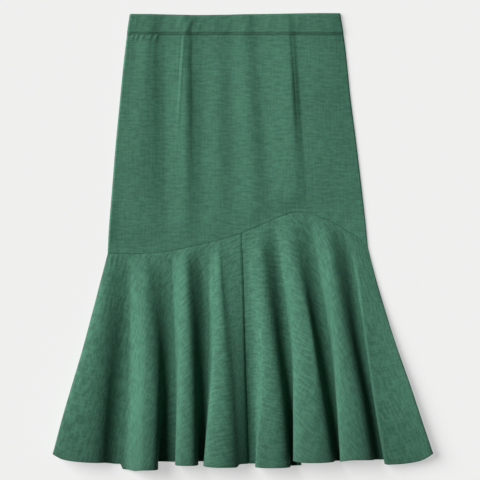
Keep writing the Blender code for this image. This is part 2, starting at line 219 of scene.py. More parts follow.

# %% [markdown]
# ## Painted shade
#
# The colour is darkened with painted shade in two places. Towards its hem the flounce darkens and
# ends in a thin dark rim: painted shade of its folds and of its rounded hem. Beside the band's seam,
# a dark line on each edge and one more under the stitches are painted shade of the seam's groove and
# of the band's step down to the panel. All of them follow a distance on the flat cloth: from the
# middle of the flounce's flat ring, or from the seam. A colour ramp turns the distance into a factor,
# and the colour is multiplied by it. Each stop of a ramp is (place, factor).

# %% Painted shade
GRAIN_TURN = 6.5  # radians of a flounce's flat ring per metre of its seam
FLOUNCE_DEPTH = 0.37
FRONT_RING = 2.1  # where the middle of each ring is on the Cut map
BACK_RING = 3.4
# painted shade: the flounce's colour darkens towards its hem and in a thin rim at its edge
HEM_PAINTED_SHADE = ((0.0, 1.0), (0.72, 1.0), (0.90, 0.87), (0.980, 0.80), (0.988, 0.72), (1.0, 0.70))
# painted shade of the band's seam groove and stitch line: its reach on the band and its ramp
BAND_SHADE_REACH = (0.0, 0.0075)  # the stitched edge of the band, from its seam upwards
BAND_PAINTED_SHADE = (
    (0.0, 0.78),
    (0.26, 0.80),
    (0.36, 0.90),
    (0.46, 0.80),
    (0.58, 0.80),
    (0.70, 1.0),
    (1.0, 1.0),
)
# painted shade on the panel's upper edge, for the band's step: its reach and its ramp
PANEL_SHADE_REACH = (-0.0040, 0.0)  # the panel's upper edge, up to the same seam
PANEL_PAINTED_SHADE = ((0.0, 1.0), (0.30, 1.0), (0.55, 0.80), (1.0, 0.78))


def from_centre(nodes, links, place, centre):
    """Distance from the centre of a flounce's flat ring."""
    spoke = nodes.new("ShaderNodeVectorMath")
    spoke.operation = "DISTANCE"
    spoke.inputs[1].default_value = (centre, 0.0, 0.0)
    links.new(place, spoke.inputs[0])
    return spoke.outputs["Value"]


def paint_shade(nodes, links, colour, distance, reach, ramp):
    """Darken the colour with painted shade, by a ramp that follows a distance on the flat cloth."""
    share = nodes.new("ShaderNodeMapRange")
    share.name = "Share of the reach"
    share.inputs["From Min"].default_value = reach[0]
    share.inputs["From Max"].default_value = reach[1]
    links.new(distance, share.inputs["Value"])
    depth = nodes.new("ShaderNodeValToRGB")
    depth.name = "Painted shade ramp"
    stops = depth.color_ramp.elements
    for position, value in ramp:
        stop = stops[0] if position == 0.0 else stops[-1] if position == 1.0 else stops.new(position)
        stop.color = (value, value, value, 1.0)
    links.new(share.outputs["Result"], depth.inputs["Fac"])
    deeper = nodes.new("ShaderNodeMix")
    deeper.data_type = "RGBA"
    deeper.blend_type = "MULTIPLY"
    deeper.inputs["Factor"].default_value = 1.0
    links.new(colour, deeper.inputs["A"])
    links.new(depth.outputs["Color"], deeper.inputs["B"])
    return deeper.outputs["Result"]


print("the hem's colour is multiplied by", HEM_PAINTED_SHADE[-1][1])

# %% [markdown]
# ## The finished cloth
#
# Now everything goes into one material: the slubs mix a dark and a light green, ramps darken the
# result with painted shade, and slubs and yarns lift the bump. Linen has little gloss and a faint
# sheen. The skirt, the front and back flounce and the band each get their own copy. The flounces
# show their slubs more strongly, and the doubled band is a touch darker.

# %% Weave material
TONE_WEIGHTS = (1.0, 0.5, 0.45, 0.2)  # weft slubs, fine weft, warp slubs, dye patches
RELIEF_WEIGHTS = (1.0, 0.5, 0.5, 0.06, 0.08)  # weft slubs, warp slubs, fine weft, both yarns
WEAVE_BUMP = 0.0004
LINEN_FINISH = (
    ("Roughness", 0.76),
    ("Specular IOR Level", 0.3),
    ("Sheen Weight", 0.03),
    ("Sheen Roughness", 0.5),
)


def weave_material(name, dark, light, tones, ring_centre=None, seam_painted_shade=None):
    """Slubby plain weave between two colours, which the noise reaches at its two tones."""
    material = bpy.data.materials.new(name)
    material.use_nodes = True
    nodes = material.node_tree.nodes
    links = material.node_tree.links
    shader = nodes["Principled BSDF"]
    cut = nodes.new("ShaderNodeUVMap")
    cut.uv_map = "Cut"
    place = cut.outputs["UV"]
    split = nodes.new("ShaderNodeSeparateXYZ")
    links.new(place, split.inputs["Vector"])
    weft = stretched_noise(nodes, links, place, "Weft slubs", WEFT_SLUB, detail=3.0)
    fine = stretched_noise(nodes, links, place, "Fine weft", WEFT_FINE)
    warp = stretched_noise(nodes, links, place, "Warp slubs", WARP_SLUB)
    patch = stretched_noise(nodes, links, place, "Dye patches", PATCH)
    tone = weighted_sum(nodes, links, zip((weft, fine, warp, patch), TONE_WEIGHTS))
    spread = nodes.new("ShaderNodeMapRange")
    spread.name = "Slub contrast"
    spread.inputs["From Min"].default_value = tones[0]
    spread.inputs["From Max"].default_value = tones[1]
    links.new(tone, spread.inputs["Value"])
    colour = nodes.new("ShaderNodeMix")
    colour.data_type = "RGBA"
    colour.inputs["A"].default_value = dark
    colour.inputs["B"].default_value = light
    links.new(spread.outputs["Result"], colour.inputs["Factor"])
    result = colour.outputs["Result"]
    # painted shade towards the flounce's hem
    if ring_centre is not None:
        spoke = from_centre(nodes, links, place, ring_centre)
        reach = (1.0 / GRAIN_TURN, 1.0 / GRAIN_TURN + FLOUNCE_DEPTH)
        result = paint_shade(nodes, links, result, spoke, reach, HEM_PAINTED_SHADE)
    # painted shade along the band's seam
    if seam_painted_shade is not None:
        result = paint_shade(nodes, links, result, split.outputs["Y"], *seam_painted_shade)
    links.new(result, shader.inputs["Base Color"])
    warp_yarn = yarn_wave(nodes, links, split.outputs["X"])
    weft_yarn = yarn_wave(nodes, links, split.outputs["Y"])
    parts = (weft, warp, fine, warp_yarn, weft_yarn)
    relief = weighted_sum(nodes, links, zip(parts, RELIEF_WEIGHTS))
    bump = nodes.new("ShaderNodeBump")
    bump.inputs["Strength"].default_value = 1.0
    bump.inputs["Distance"].default_value = WEAVE_BUMP
    links.new(relief, bump.inputs["Height"])
    links.new(bump.outputs["Normal"], shader.inputs["Normal"])
    set_sockets(shader, LINEN_FINISH)
    return material


LINEN_DARK = (0.0322, 0.1200, 0.0752, 1.0)
LINEN_LIGHT = (0.0548, 0.1808, 0.1150, 1.0)
BAND_DARK = (0.0312, 0.1160, 0.0722, 1.0)
BAND_LIGHT = (0.0528, 0.1690, 0.1070, 1.0)
SMOOTH_TONES = (0.83, 1.32)  # the sums of noise at which the dark and the light colour are reached
ROUGH_TONES = (0.92, 1.24)
# painted shade along the band's seam, on the panel's edge and on the band
panel_painted_shade = (PANEL_SHADE_REACH, PANEL_PAINTED_SHADE)
band_painted_shade = (BAND_SHADE_REACH, BAND_PAINTED_SHADE)
skirt_linen = weave_material("skirt_linen", LINEN_DARK, LINEN_LIGHT, SMOOTH_TONES, seam_painted_shade=panel_painted_shade)
flounce_linen = weave_material("flounce_linen", LINEN_DARK, LINEN_LIGHT, ROUGH_TONES, FRONT_RING)
back_linen = weave_material("back_flounce_linen", LINEN_DARK, LINEN_LIGHT, ROUGH_TONES, BACK_RING)
band_linen = weave_material("band_linen", BAND_DARK, BAND_LIGHT, SMOOTH_TONES, seam_painted_shade=band_painted_shade)
print("weaves:", skirt_linen.name, flounce_linen.name, band_linen.name)

# %% [markdown]
# ## Sewing thread
#
# The thread is a tone darker and shinier than the cloth. It is too thin to show its own twist from
# above, so a slanting wave that lets its tone vary a little along the line is enough.

# %% Thread material
THREAD_WAVE = 130.0  # scale of the wave texture: about one wave every 5 mm
THREAD_DARK = (0.030, 0.096, 0.060, 1)
THREAD_LIGHT = (0.052, 0.150, 0.096, 1)
THREAD_BUMP = 0.00008
THREAD_ROUGHNESS = 0.5


def thread_material():
    material = bpy.data.materials.new("sewing_thread")
    material.use_nodes = True
    nodes = material.node_tree.nodes
    links = material.node_tree.links
    shader = nodes["Principled BSDF"]
    place = nodes.new("ShaderNodeTexCoord")
    wave = nodes.new("ShaderNodeTexWave")
    wave.bands_direction = "DIAGONAL"
    wave.inputs["Scale"].default_value = THREAD_WAVE
    links.new(place.outputs["Object"], wave.inputs["Vector"])
    colour = nodes.new("ShaderNodeMix")
    colour.data_type = "RGBA"
    colour.inputs["A"].default_value = THREAD_DARK
    colour.inputs["B"].default_value = THREAD_LIGHT
    links.new(wave.outputs["Fac"], colour.inputs["Factor"])
    links.new(colour.outputs["Result"], shader.inputs["Base Color"])
    bump = nodes.new("ShaderNodeBump")
    bump.inputs["Distance"].default_value = THREAD_BUMP
    links.new(wave.outputs["Fac"], bump.inputs["Height"])
    links.new(bump.outputs["Normal"], shader.inputs["Normal"])
    shader.inputs["Roughness"].default_value = THREAD_ROUGHNESS
    return material


sewing_thread = thread_material()
print("thread:", sewing_thread.name)

# %% [markdown]
# ## Numbers that follow a curve
#
# Most shapes here come from short tables: the side of the skirt at eight heights, the curved seam
# at fourteen places. Between two rows we follow a smooth curve. All helpers take whole arrays, so a
# sheet of twenty thousand points costs no more lines than a single one.

# %% Helpers for curves


def mix(start, end, share):
    return start + (end - start) * share


def ease(share):
    """A soft step from 0 to 1."""
    share = np.clip(share, 0.0, 1.0)
    return share * share * (3.0 - 2.0 * share)


def hill(distance, width):
    """A soft bump, 1 at its middle."""
    return np.exp(-((distance / width) ** 2))


def hermite(start, start_slope, end, end_slope, share):
    """A point on the cubic that leaves start and reaches end at the given slopes."""
    square = share * share
    cube = square * share
    return (
        (2 * cube - 3 * square + 1) * start
        + (cube - 2 * square + share) * start_slope
        + (3 * square - 2 * cube) * end
        + (cube - square) * end_slope
    )


def read_table(rows, column, place):
    """A column's values at places along the table's first column, on a smooth curve."""
    keys = np.array([row[0] for row in rows])
    values = np.array([getattr(row, column) for row in rows])
    slopes = np.gradient(values, keys)
    slopes[1:-1] = (values[2:] - values[:-2]) / (keys[2:] - keys[:-2])
    place = np.clip(place, keys[0], keys[-1])
    row = np.clip(np.searchsorted(keys, place, side="right") - 1, 0, len(keys) - 2)
    span = keys[row + 1] - keys[row]
    share = (place - keys[row]) / span
    return hermite(values[row], slopes[row] * span, values[row + 1], slopes[row + 1] * span, share)


def graded(*stretches):
    """Shares from 0 to 1. Each stretch is (where it ends, how many steps it has)."""
    places = [0.0]
    for end, steps in stretches:
        start = places[-1]
        places += [mix(start, end, step / steps) for step in range(1, steps + 1)]
    return np.array(places)


def mirrored(shares):
    """The same shares, counted from the other end."""
    return 1 - shares[::-1]


def column(values):
    """Values down the rows, ready to be combined with values across the columns."""
    return np.asarray(values)[:, None]


print("a soft step:", ease(np.linspace(0.0, 1.0, 5)).round(2))

# %% [markdown]
# ## From a grid of points to cloth
#
# A piece starts as a grid of points in the middle of the cloth. We push it outwards and inwards
# along its normals by half its thickness and close the four borders with a rounded strip. Blender's
# Solidify modifier would do this too, but here the hem has to be thicker than the rest, and every
# point has to keep its place on the flat cut.

# %% Cloth maker
CLOTH = 0.0008
RIM_ROUND = 0.8  # how far the rim stands out, in halves of the thickness


def normals_of(points):
    """Unit normals of a grid whose rows run down the skirt and whose columns run to the right."""
    normals = np.cross(np.gradient(points, axis=0), np.gradient(points, axis=1))
    return normals / np.linalg.norm(normals, axis=2, keepdims=True)


def raise_cloth(points, height):
    """Move the grid along its normals."""
    return points + normals_of(points) * height[..., None]


def unit(vectors):
    return vectors / np.maximum(np.linalg.norm(vectors, axis=-1, keepdims=True), 1e-12)


def border_of(rows, columns):
    """Indices round a grid, anticlockwise from its upper left corner."""
    index = np.arange(rows * columns).reshape(rows, columns)
    return np.concatenate([index[:-1, 0], index[-1, :-1], index[:0:-1, -1], index[0, :0:-1]])


def outward_of(points):
    """At each border point, the direction that leaves the cloth."""
    down = unit(np.gradient(points, axis=0))
    across = unit(np.gradient(points, axis=1))
    outward = np.zeros_like(points)
    outward[:, 0] -= across[:, 0]
    outward[:, -1] += across[:, -1]
    outward[0] -= down[0]
    outward[-1] += down[-1]
    return unit(outward)


def add_piece(name, mesh, material):
    """Put a mesh into the scene, where it rides on the skirt's one body."""
    mesh.shade_smooth()
    mesh.materials.append(material)
    piece = bpy.data.objects.new(name, mesh)
    bpy.context.scene.collection.objects.link(piece)
    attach(piece, "root")
    return piece


def make_cloth(name, points, cut, material, thickness=CLOTH):
    """A closed sheet round a grid of points. Cut holds each point's place on the flat cloth."""
    rows, columns = points.shape[:2]
    half = np.broadcast_to(np.asarray(thickness) / 2, (rows, columns))[..., None]
    normals = normals_of(points)
    border = border_of(rows, columns)
    rim = (points + outward_of(points) * half * RIM_ROUND).reshape(-1, 3)[border]
    outer = (points + normals * half).reshape(-1, 3)
    inner = (points - normals * half).reshape(-1, 3)
    count = rows * columns
    index = np.arange(count).reshape(rows, columns)
    top = np.stack([index[:-1, :-1], index[1:, :-1], index[1:, 1:], index[:-1, 1:]], axis=2)
    top = top.reshape(-1, 4)
    ring = count * 2 + np.arange(len(border))
    following = np.roll(border, -1)
    next_ring = np.roll(ring, -1)
    faces = np.concatenate(
        [
            top,
            top[:, ::-1] + count,
            np.stack([border, ring, next_ring, following], axis=1),
            np.stack([ring, border + count, following + count, next_ring], axis=1),
        ]
    )
    mesh = bpy.data.meshes.new(name)
    mesh.from_pydata(np.concatenate([outer, inner, rim]).tolist(), [], faces.tolist())
    flat = cut.reshape(-1, 2)
    places = np.concatenate([flat, flat, flat[border]])
    corners = np.empty(len(mesh.loops), dtype=np.int64)
    mesh.loops.foreach_get("vertex_index", corners)
    mesh.uv_layers.new(name="Cut").uv.foreach_set("vector", places[corners].ravel())
    print(name + ":", len(faces), "faces")
    return add_piece(name, mesh, material)


print("the cloth is", CLOTH * 1000, "mm thick")


# %% [markdown]
# ## Creases
#
# Cloth that was folded and lifted onto a table never lies perfectly still. Each crease here is a
# soft ridge (or a trough, if its height is below zero) with its own place, length and depth.
# Regular ones would look like corrugated card, so no two are alike.

# %% Creases
Crease = namedtuple("Crease", "x drop lean length width height")


def crease_relief(creases, x, drop):
    """Height of the creases. Lean is how far a crease moves to the right on its way down."""
    relief = np.zeros(np.broadcast(x, drop).shape)
    for crease in creases:
        along = (drop - crease.drop) / (crease.length / 2)
        beside = x - crease.x - crease.lean * (drop - crease.drop)
        relief += crease.height * np.clip(1 - along**2, 0, None) ** 2 * hill(beside, crease.width)
    return relief


sample = Crease(x=0.0, drop=0.0, lean=0.0, length=0.04, width=0.004, height=0.001)
sample_heights = crease_relief([sample], 0.0, np.linspace(0.0, 0.02, 5))
print("a crease from its middle to its end, mm:", (sample_heights * 1000).round(2))

# %% [markdown]
# ## Seam edges
#
# Two pieces that are sewn together turn down into the seam between them. Seen from above that is a
# thin dark line with a soft pale lip on each side, where the allowances pad the cloth from below.
#
# Which piece turns down depends on where the allowances were pressed. Along most of the curved seam
# the panel dips and the flounce stays up. Towards the right end they change over, and there the
# flounce dives, much deeper, under the panel.

# %% Seam edges
SEAM_SINK = 0.0005
SEAM_SINK_WIDTH = 0.0010
SEAM_LIP = 0.00010
SEAM_LIP_AT = 0.0040
SEAM_LIP_WIDTH = 0.0018
SHALLOW_SINK = 0.0001  # of the piece that stays up
FLOUNCE_SINK = 0.0012
DIVE_FROM = 0.09  # the change-over begins here, and is complete at the next x
DIVE_TO = 0.16


def seam_relief(distance, sink=SEAM_SINK, width=SEAM_SINK_WIDTH):
    """Height near a sewn edge, for the distance from it."""
    lip = SEAM_LIP * hill(distance - SEAM_LIP_AT, SEAM_LIP_WIDTH)
    return lip - sink * hill(distance, width)


def curved_sink(x, of_panel):
    """How deep the panel or the flounce turns down into the curved seam."""
    turned = ease((x - DIVE_FROM) / (DIVE_TO - DIVE_FROM))
    if of_panel:
        return mix(SEAM_SINK, SHALLOW_SINK, turned)
    return mix(SHALLOW_SINK, FLOUNCE_SINK, turned)


print("the panel sinks", SEAM_SINK * 1000, "mm, the flounce", FLOUNCE_SINK * 1000, "mm")

# %% [markdown]
# ## Where things are
#
# These are the skirt's own measures. A drop is a distance down from the skirt's upper end, and x
# runs to the right from the middle of the frame's box. A rest is how high the middle of a cloth lies
# where nothing lifts it: the back lies flat on the table, the front a little above it, and the
# doubled band higher still. The sides, the waist, the seams and the hem are tables, since none of
# them is quite straight. The flounce's sides go by their share of its length instead of a drop.

# %% Main measures
LENGTH = 0.7955
BAND_SEAM = 0.0380
SEAM_GAP = 0.0003
BACK_HEM_SHORT = 0.004
BACK_REST = 0.0006
FRONT_REST = 0.0022
BAND_BACK_REST = 0.0012
BAND_FRONT_REST = 0.0039
BAND_CLOTH = 0.0021  # two layers and the elastic

PanelSide = namedtuple("PanelSide", "drop left right")
PANEL_SIDES = (
    PanelSide(0.000, -0.1965, 0.1703),
    PanelSide(0.047, -0.2028, 0.1776),
    PanelSide(0.090, -0.2079, 0.1822),
    PanelSide(0.160, -0.2148, 0.1887),
    PanelSide(0.230, -0.2215, 0.1971),
    PanelSide(0.300, -0.2272, 0.2054),
    PanelSide(0.383, -0.2338, 0.2153),
    PanelSide(0.422, -0.2356, 0.2193),
)
FlounceSide = namedtuple("FlounceSide", "share left right")
FLOUNCE_SIDES = (
    FlounceSide(0.00, -0.2356, 0.2193),
    FlounceSide(0.17, -0.2511, 0.2342),
    FlounceSide(0.33, -0.2654, 0.2519),
    FlounceSide(0.49, -0.2801, 0.2704),
    FlounceSide(0.66, -0.2977, 0.2919),
    FlounceSide(0.82, -0.3138, 0.3109),
    FlounceSide(1.00, -0.3303, 0.3323),
)

Seam = namedtuple("Seam", "x drop")
WAIST = (
    Seam(-0.1965, 0.0028),
    Seam(-0.1450, 0.0032),
    Seam(-0.0900, 0.0045),
    Seam(-0.0400, 0.0042),
    Seam(0.0120, 0.0031),
    Seam(0.0650, 0.0026),
    Seam(0.1180, 0.0016),
    Seam(0.1703, 0.0013),
)
FRONT_SEAM = (
    Seam(-0.2356, 0.4210),
    Seam(-0.1900, 0.4223),
    Seam(-0.1400, 0.4191),
    Seam(-0.0900, 0.4094),
    Seam(-0.0450, 0.3988),
    Seam(-0.0040, 0.3868),
    Seam(0.0400, 0.3684),
    Seam(0.0740, 0.3541),
    Seam(0.0940, 0.3495),
    Seam(0.1180, 0.3510),
    Seam(0.1530, 0.3634),
    Seam(0.1840, 0.3811),
    Seam(0.2030, 0.3930),
    Seam(0.2193, 0.4104),
)
BACK_SEAM = (
    Seam(-0.2356, 0.4210),
    Seam(0.0000, 0.4170),
    Seam(0.2193, 0.4104),
)
HEM = (
    Seam(-0.3335, 0.7690),
    Seam(-0.3140, 0.7795),
    Seam(-0.2850, 0.7845),
    Seam(-0.2500, 0.7860),
    Seam(0.2500, 0.7860),
    Seam(0.2850, 0.7845),
    Seam(0.3140, 0.7795),
    Seam(0.3335, 0.7690),
)


def place(x, drop, height):
    """Points of the laid-out skirt."""
    return np.stack(np.broadcast_arrays(x, LENGTH / 2 - drop, height), axis=-1)


def waist_top(x):
    """Drop of the band's upper edge, which sags a little between its ends."""
    return read_table(WAIST, "drop", x)


def back_seam(x):
    """Drop of the back's seam, a nearly straight line that meets the front's at both sides."""
    return read_table(BACK_SEAM, "drop", x)


def sides_at(drop):
    """X of the upper panels' left and right sides."""
    return read_table(PANEL_SIDES, "left", drop), read_table(PANEL_SIDES, "right", drop)


print("the curved seam peaks at drop", min(row.drop for row in FRONT_SEAM))

# %% [markdown]
# ## Stitches
#
# A machine stitch is a short bit of thread that dives into the cloth at both ends. We make one as a
# small tube of four rings, low at its ends and proud in the middle, and repeat it along a line. An
# array modifier along a curve would bend the stitches, and thread that is pulled tight stays
# straight.

# %% Stitch maker
STITCH = 0.0029
STITCH_GAP = 0.0006
THREAD_RADIUS = 0.00018
THREAD_SIDES = 6
StitchRing = namedtuple("StitchRing", "share girth height")  # height in radii of the thread
STITCH_RINGS = (
    StitchRing(0.00, 0.3, -0.4),
    StitchRing(0.25, 1.0, 0.5),
    StitchRing(0.75, 1.0, 0.5),
    StitchRing(1.00, 0.3, -0.4),
)


def make_stitches(name, line, normals):
    """Stitches along a line of surface points, with the cloth's normals there."""
    steps = np.linalg.norm(np.diff(line, axis=0), axis=1)
    walked = np.concatenate([[0.0], np.cumsum(steps)])
    count = int(walked[-1] / (STITCH + STITCH_GAP))
    starts = (np.arange(count) + 0.5) * walked[-1] / count - STITCH / 2

    def at(distance, values):
        return np.stack([np.interp(distance, walked, values[:, axis]) for axis in range(3)], axis=1)

    turns = np.arange(THREAD_SIDES) * 2 * np.pi / THREAD_SIDES
    along = unit(at(starts + STITCH, line) - at(starts, line))
    rings = []
    for share, girth, height in STITCH_RINGS:
        middle = at(starts + STITCH * share, line)
        up = unit(at(starts + STITCH * share, normals))
        side = unit(np.cross(along, up))
        centre = middle + up * THREAD_RADIUS * height
        ring = (
            centre[:, None]
            + side[:, None] * np.cos(turns)[None, :, None] * THREAD_RADIUS * girth
            + up[:, None] * np.sin(turns)[None, :, None] * THREAD_RADIUS * girth
        )
        rings.append(ring)
    points = np.stack(rings, axis=1).reshape(-1, 3)
    per_stitch = len(STITCH_RINGS) * THREAD_SIDES
    faces = []
    for low in range(0, per_stitch - THREAD_SIDES, THREAD_SIDES):
        high = low + THREAD_SIDES
        for corner in range(THREAD_SIDES):
            after = (corner + 1) % THREAD_SIDES
            faces.append((low + corner, high + corner, high + after, low + after))
    last = per_stitch - THREAD_SIDES
    caps = [tuple(range(THREAD_SIDES)), tuple(range(last, per_stitch))[::-1]]
    mesh = bpy.data.meshes.new(name)
    everything = [
        tuple(corner + stitch * per_stitch for corner in face)
        for stitch in range(count)
        for face in faces + caps
    ]
    mesh.from_pydata(points.tolist(), [], everything)
    print(name + ":", count, "stitches")
    return add_piece(name, mesh, sewing_thread)


def nearest_row(distances, wanted):
    """The row whose distance from an edge is nearest to the wanted one."""
    return int(np.argmin(np.abs(distances - wanted)))


def sew_row(name, points, row, thickness, margin, side=1):
    """Stitches along a row of a grid of points, on its upper side, or on the lower one (-1)."""
    normals = normals_of(points)[row] * side
    line = points[row] + normals * thickness / 2
    return make_stitches(name, line[margin:-margin], normals[margin:-margin])


print("a stitch every", round((STITCH + STITCH_GAP) * 1000, 1), "mm")

# %% [markdown]
# ## Soft upright folds
#
# The band holds the waist tighter than the hips need it, so the front stands up in soft upright
# folds that run from the band down to the curved seam. The table follows their crests, troughs and
# flanks from left to right: where each one is high up and low down, and how high it stands at six
# drops. Rows must stay in order all the way down, or the cloth would fold back over itself. Between
# two rows we draw a cubic that never overshoots. The whole left side of the front stands a few
# millimetres off the back, and the right side hardly at all.

# %% Soft folds
Swell = namedtuple("Swell", "high_x low_x heights")
SWELL_DROPS = (0.0, 0.066, 0.150, 0.260, 0.340, 0.430)
HIGH_DROP = 0.066  # where a row's first and second x are measured
LOW_DROP = 0.302
SWELLS = (
    Swell(-0.1900, -0.2080, (0.0034, 0.0038, 0.0046, 0.0042, 0.0034, 0.0013)),
    Swell(-0.1680, -0.1860, (0.0033, 0.0055, 0.0058, 0.0047, 0.0035, 0.0014)),
    Swell(-0.1575, -0.1600, (0.0026, 0.0044, 0.0045, 0.0033, 0.0024, 0.0010)),
    Swell(-0.1450, -0.1450, (0.0012, 0.0016, 0.0017, 0.0014, 0.0011, 0.0006)),
    Swell(-0.1350, -0.1340, (0.0005, 0.0008, 0.0005, 0.0004, 0.0004, 0.0003)),
    Swell(-0.1165, -0.1165, (0.0014, 0.0019, 0.0026, 0.0021, 0.0014, 0.0006)),
    Swell(-0.1060, -0.1050, (0.0024, 0.0033, 0.0049, 0.0039, 0.0025, 0.0011)),
    Swell(-0.1002, -0.0990, (0.0027, 0.0040, 0.0058, 0.0045, 0.0028, 0.0012)),
    Swell(-0.0948, -0.0932, (0.0020, 0.0034, 0.0050, 0.0039, 0.0024, 0.0010)),
    Swell(-0.0876, -0.0858, (0.0010, 0.0010, 0.0020, 0.0021, 0.0015, 0.0006)),
    Swell(-0.0690, -0.0700, (0.0002, 0.0002, 0.0001, 0.0002, 0.0003, 0.0003)),
    Swell(-0.0410, -0.0420, (0.0008, 0.0011, 0.0024, 0.0019, 0.0014, 0.0008)),
    Swell(-0.0219, -0.0158, (0.0005, 0.0006, 0.0009, 0.0005, 0.0005, 0.0004)),
    Swell(0.0075, 0.0210, (0.0022, 0.0031, 0.0050, 0.0036, 0.0024, 0.0012)),
    Swell(0.0262, 0.0455, (0.0013, 0.0018, 0.0029, 0.0017, 0.0014, 0.0006)),
    Swell(0.0578, 0.0683, (0.0031, 0.0043, 0.0053, 0.0042, 0.0028, 0.0011)),
    Swell(0.0823, 0.0928, (0.0046, 0.0062, 0.0083, 0.0062, 0.0042, 0.0016)),
    Swell(0.0875, 0.1033, (0.0043, 0.0054, 0.0058, 0.0051, 0.0037, 0.0014)),
    Swell(0.0963, 0.1120, (0.0038, 0.0034, 0.0032, 0.0039, 0.0031, 0.0012)),
    Swell(0.1295, 0.1330, (0.0040, 0.0037, 0.0035, 0.0037, 0.0030, 0.0012)),
    Swell(0.1540, 0.1650, (0.0031, 0.0030, 0.0026, 0.0027, 0.0020, 0.0008)),
)
LEFT_SWELL = 0.0042
RIGHT_SWELL = 0.0004
SIDE_WALL = 0.0020  # the sides come down to the back within this distance


def calm_slopes(widths, climbs):
    """Slopes at the inner points of a line that make it neither overshoot nor ripple."""
    steep = climbs / widths
    before, after = steep[:-1], steep[1:]
    same_way = before * after > 0
    total = np.where(same_way, before + after, 1.0)
    return np.where(same_way, 2 * before * after / total, 0.0)


def swell_height(x, drop, left, right):
    """Height of the soft folds, between the left and the right side of the cloth."""
    down = (drop - HIGH_DROP) / (LOW_DROP - HIGH_DROP)
    places = [left + 0 * x] + [mix(swell.high_x, swell.low_x, down) + 0 * x for swell in SWELLS]
    places = np.stack(places + [right + 0 * x])
    inner = [np.interp(drop, SWELL_DROPS, swell.heights) + 0 * x for swell in SWELLS]
    heights = np.stack([np.full_like(x, LEFT_SWELL)] + inner + [np.full_like(x, RIGHT_SWELL)])
    widths, climbs = np.diff(places, axis=0), np.diff(heights, axis=0)
    slopes = calm_slopes(widths, climbs)
    first, last = climbs[:1] / widths[:1], climbs[-1:] / widths[-1:]
    slopes = np.concatenate([first, slopes, last])
    height = np.zeros_like(x)
    for index, width in enumerate(widths):
        share = (x - places[index]) / width
        run = hermite(
            heights[index], slopes[index] * width, heights[index + 1], slopes[index + 1] * width, share
        )
        height = np.where((share >= 0) & (share <= 1), run, height)
    return height * ease(np.minimum(x - left, right - x) / SIDE_WALL)


highest = max(max(swell.heights) for swell in SWELLS)
print("soft folds:", len(SWELLS), "rows, up to", round(highest * 1000, 1), "mm high")

# %% [markdown]
# ## Darts
#
# Two darts take in the waist. A dart is a stitched pleat on the inside. Outside it shows as a fine
# sunk line, and where the pleat inside is pressed to one side, it pads a soft lip beside the line.
# Line and lip keep their strength for half of the way down, and fade out by the dart's end.

# %% Darts
Dart = namedtuple("Dart", "top_x low_x low_drop depth depth_ends lip lip_ends")
DARTS = (
    Dart(-0.1040, -0.1217, 0.270, 0.0006, 0.170, 0.0008, 0.260),
    Dart(0.0825, 0.0991, 0.240, 0.0003, 0.240, 0.0, 0.240),
)
DART_STARTS = 0.3  # how much of a dart shows right at the band's seam
DART_GROWS = 0.018
DART_WIDTH = 0.0014
DART_LIP_AT = 0.0042
DART_LIP_WIDTH = 0.0027


def dart_x(dart, drop):
    return mix(dart.top_x, dart.low_x, drop / dart.low_drop)


def fade_by(end, drop):
    """1 down to half of the way to the end, and 0 at the end."""
    return ease(2 - 2 * drop / end)


def dart_relief(x, drop):
    """The darts' fine lines and the lips beside them."""
    relief = np.zeros_like(x)
    for dart in DARTS:
        beside = x - dart_x(dart, drop)
        relief -= dart.depth * fade_by(dart.depth_ends, drop) * hill(beside, DART_WIDTH)
        lip = dart.lip * fade_by(dart.lip_ends, drop)
        relief += lip * hill(beside - DART_LIP_AT, DART_LIP_WIDTH)
    return relief * ease((drop - BAND_SEAM) / DART_GROWS + DART_STARTS)


print("darts end at drops", [max(dart.depth_ends, dart.lip_ends) for dart in DARTS])

# %% [markdown]
# ## The waistband
#
# Doubled cloth over a flat elastic: smooth when stretched, a little rippled at rest. The ripples
# slant and differ, and the band rolls over at its upper edge, where the cloth is folded. A line of
# stitches just above the seam holds the elastic down. No elastic lies below that line, so the band
# is thinner there and steps down to the seam.

# %% Waistband
BAND_ROLL = 0.0009
BAND_ROLL_WIDTH = 0.0016
BAND_STITCH_ABOVE = 0.0039
BAND_EDGE_CLOTH = 0.0014
BAND_STEP = 0.00025
BAND_STEP_WIDTH = 0.0022
BAND_ON_CUT = 0.7  # where the band is on the Cut map, clear of the panels
BAND_STITCH_MARGIN = 6  # columns without stitches at each side
BACK_RIPPLES = 0.35  # the back lies on the table and ripples less
SIDE_ROLL = 0.0004
SIDE_ROLL_WIDTH = 0.0014
BAND_RIPPLES = (
    Crease(-0.188, 0.018, -0.30, 0.050, 0.0040, 0.00035),
    Crease(-0.174, 0.014, -0.40, 0.040, 0.0035, 0.00030),
    Crease(-0.156, 0.018, -0.20, 0.050, 0.0045, 0.00045),
    Crease(-0.141, 0.016, -0.35, 0.040, 0.0035, -0.00030),
    Crease(-0.110, 0.016, -0.45, 0.055, 0.0042, 0.00065),
    Crease(-0.093, 0.016, -0.50, 0.055, 0.0046, 0.00080),
    Crease(-0.074, 0.016, -0.50, 0.045, 0.0040, 0.00045),
    Crease(-0.048, 0.018, -0.35, 0.050, 0.0050, 0.00035),
    Crease(-0.025, 0.016, -0.40, 0.045, 0.0045, 0.00040),
    Crease(0.008, 0.018, -0.30, 0.050, 0.0060, 0.00045),
    Crease(0.045, 0.018, -0.25, 0.045, 0.0045, 0.00035),
    Crease(0.068, 0.014, -0.20, 0.040, 0.0050, 0.00025),
    Crease(0.098, 0.018, -0.10, 0.050, 0.0050, 0.00035),
    Crease(0.132, 0.018, 0.10, 0.055, 0.0070, 0.00030),
    Crease(0.154, 0.020, 0.20, 0.040, 0.0050, 0.00020),
)


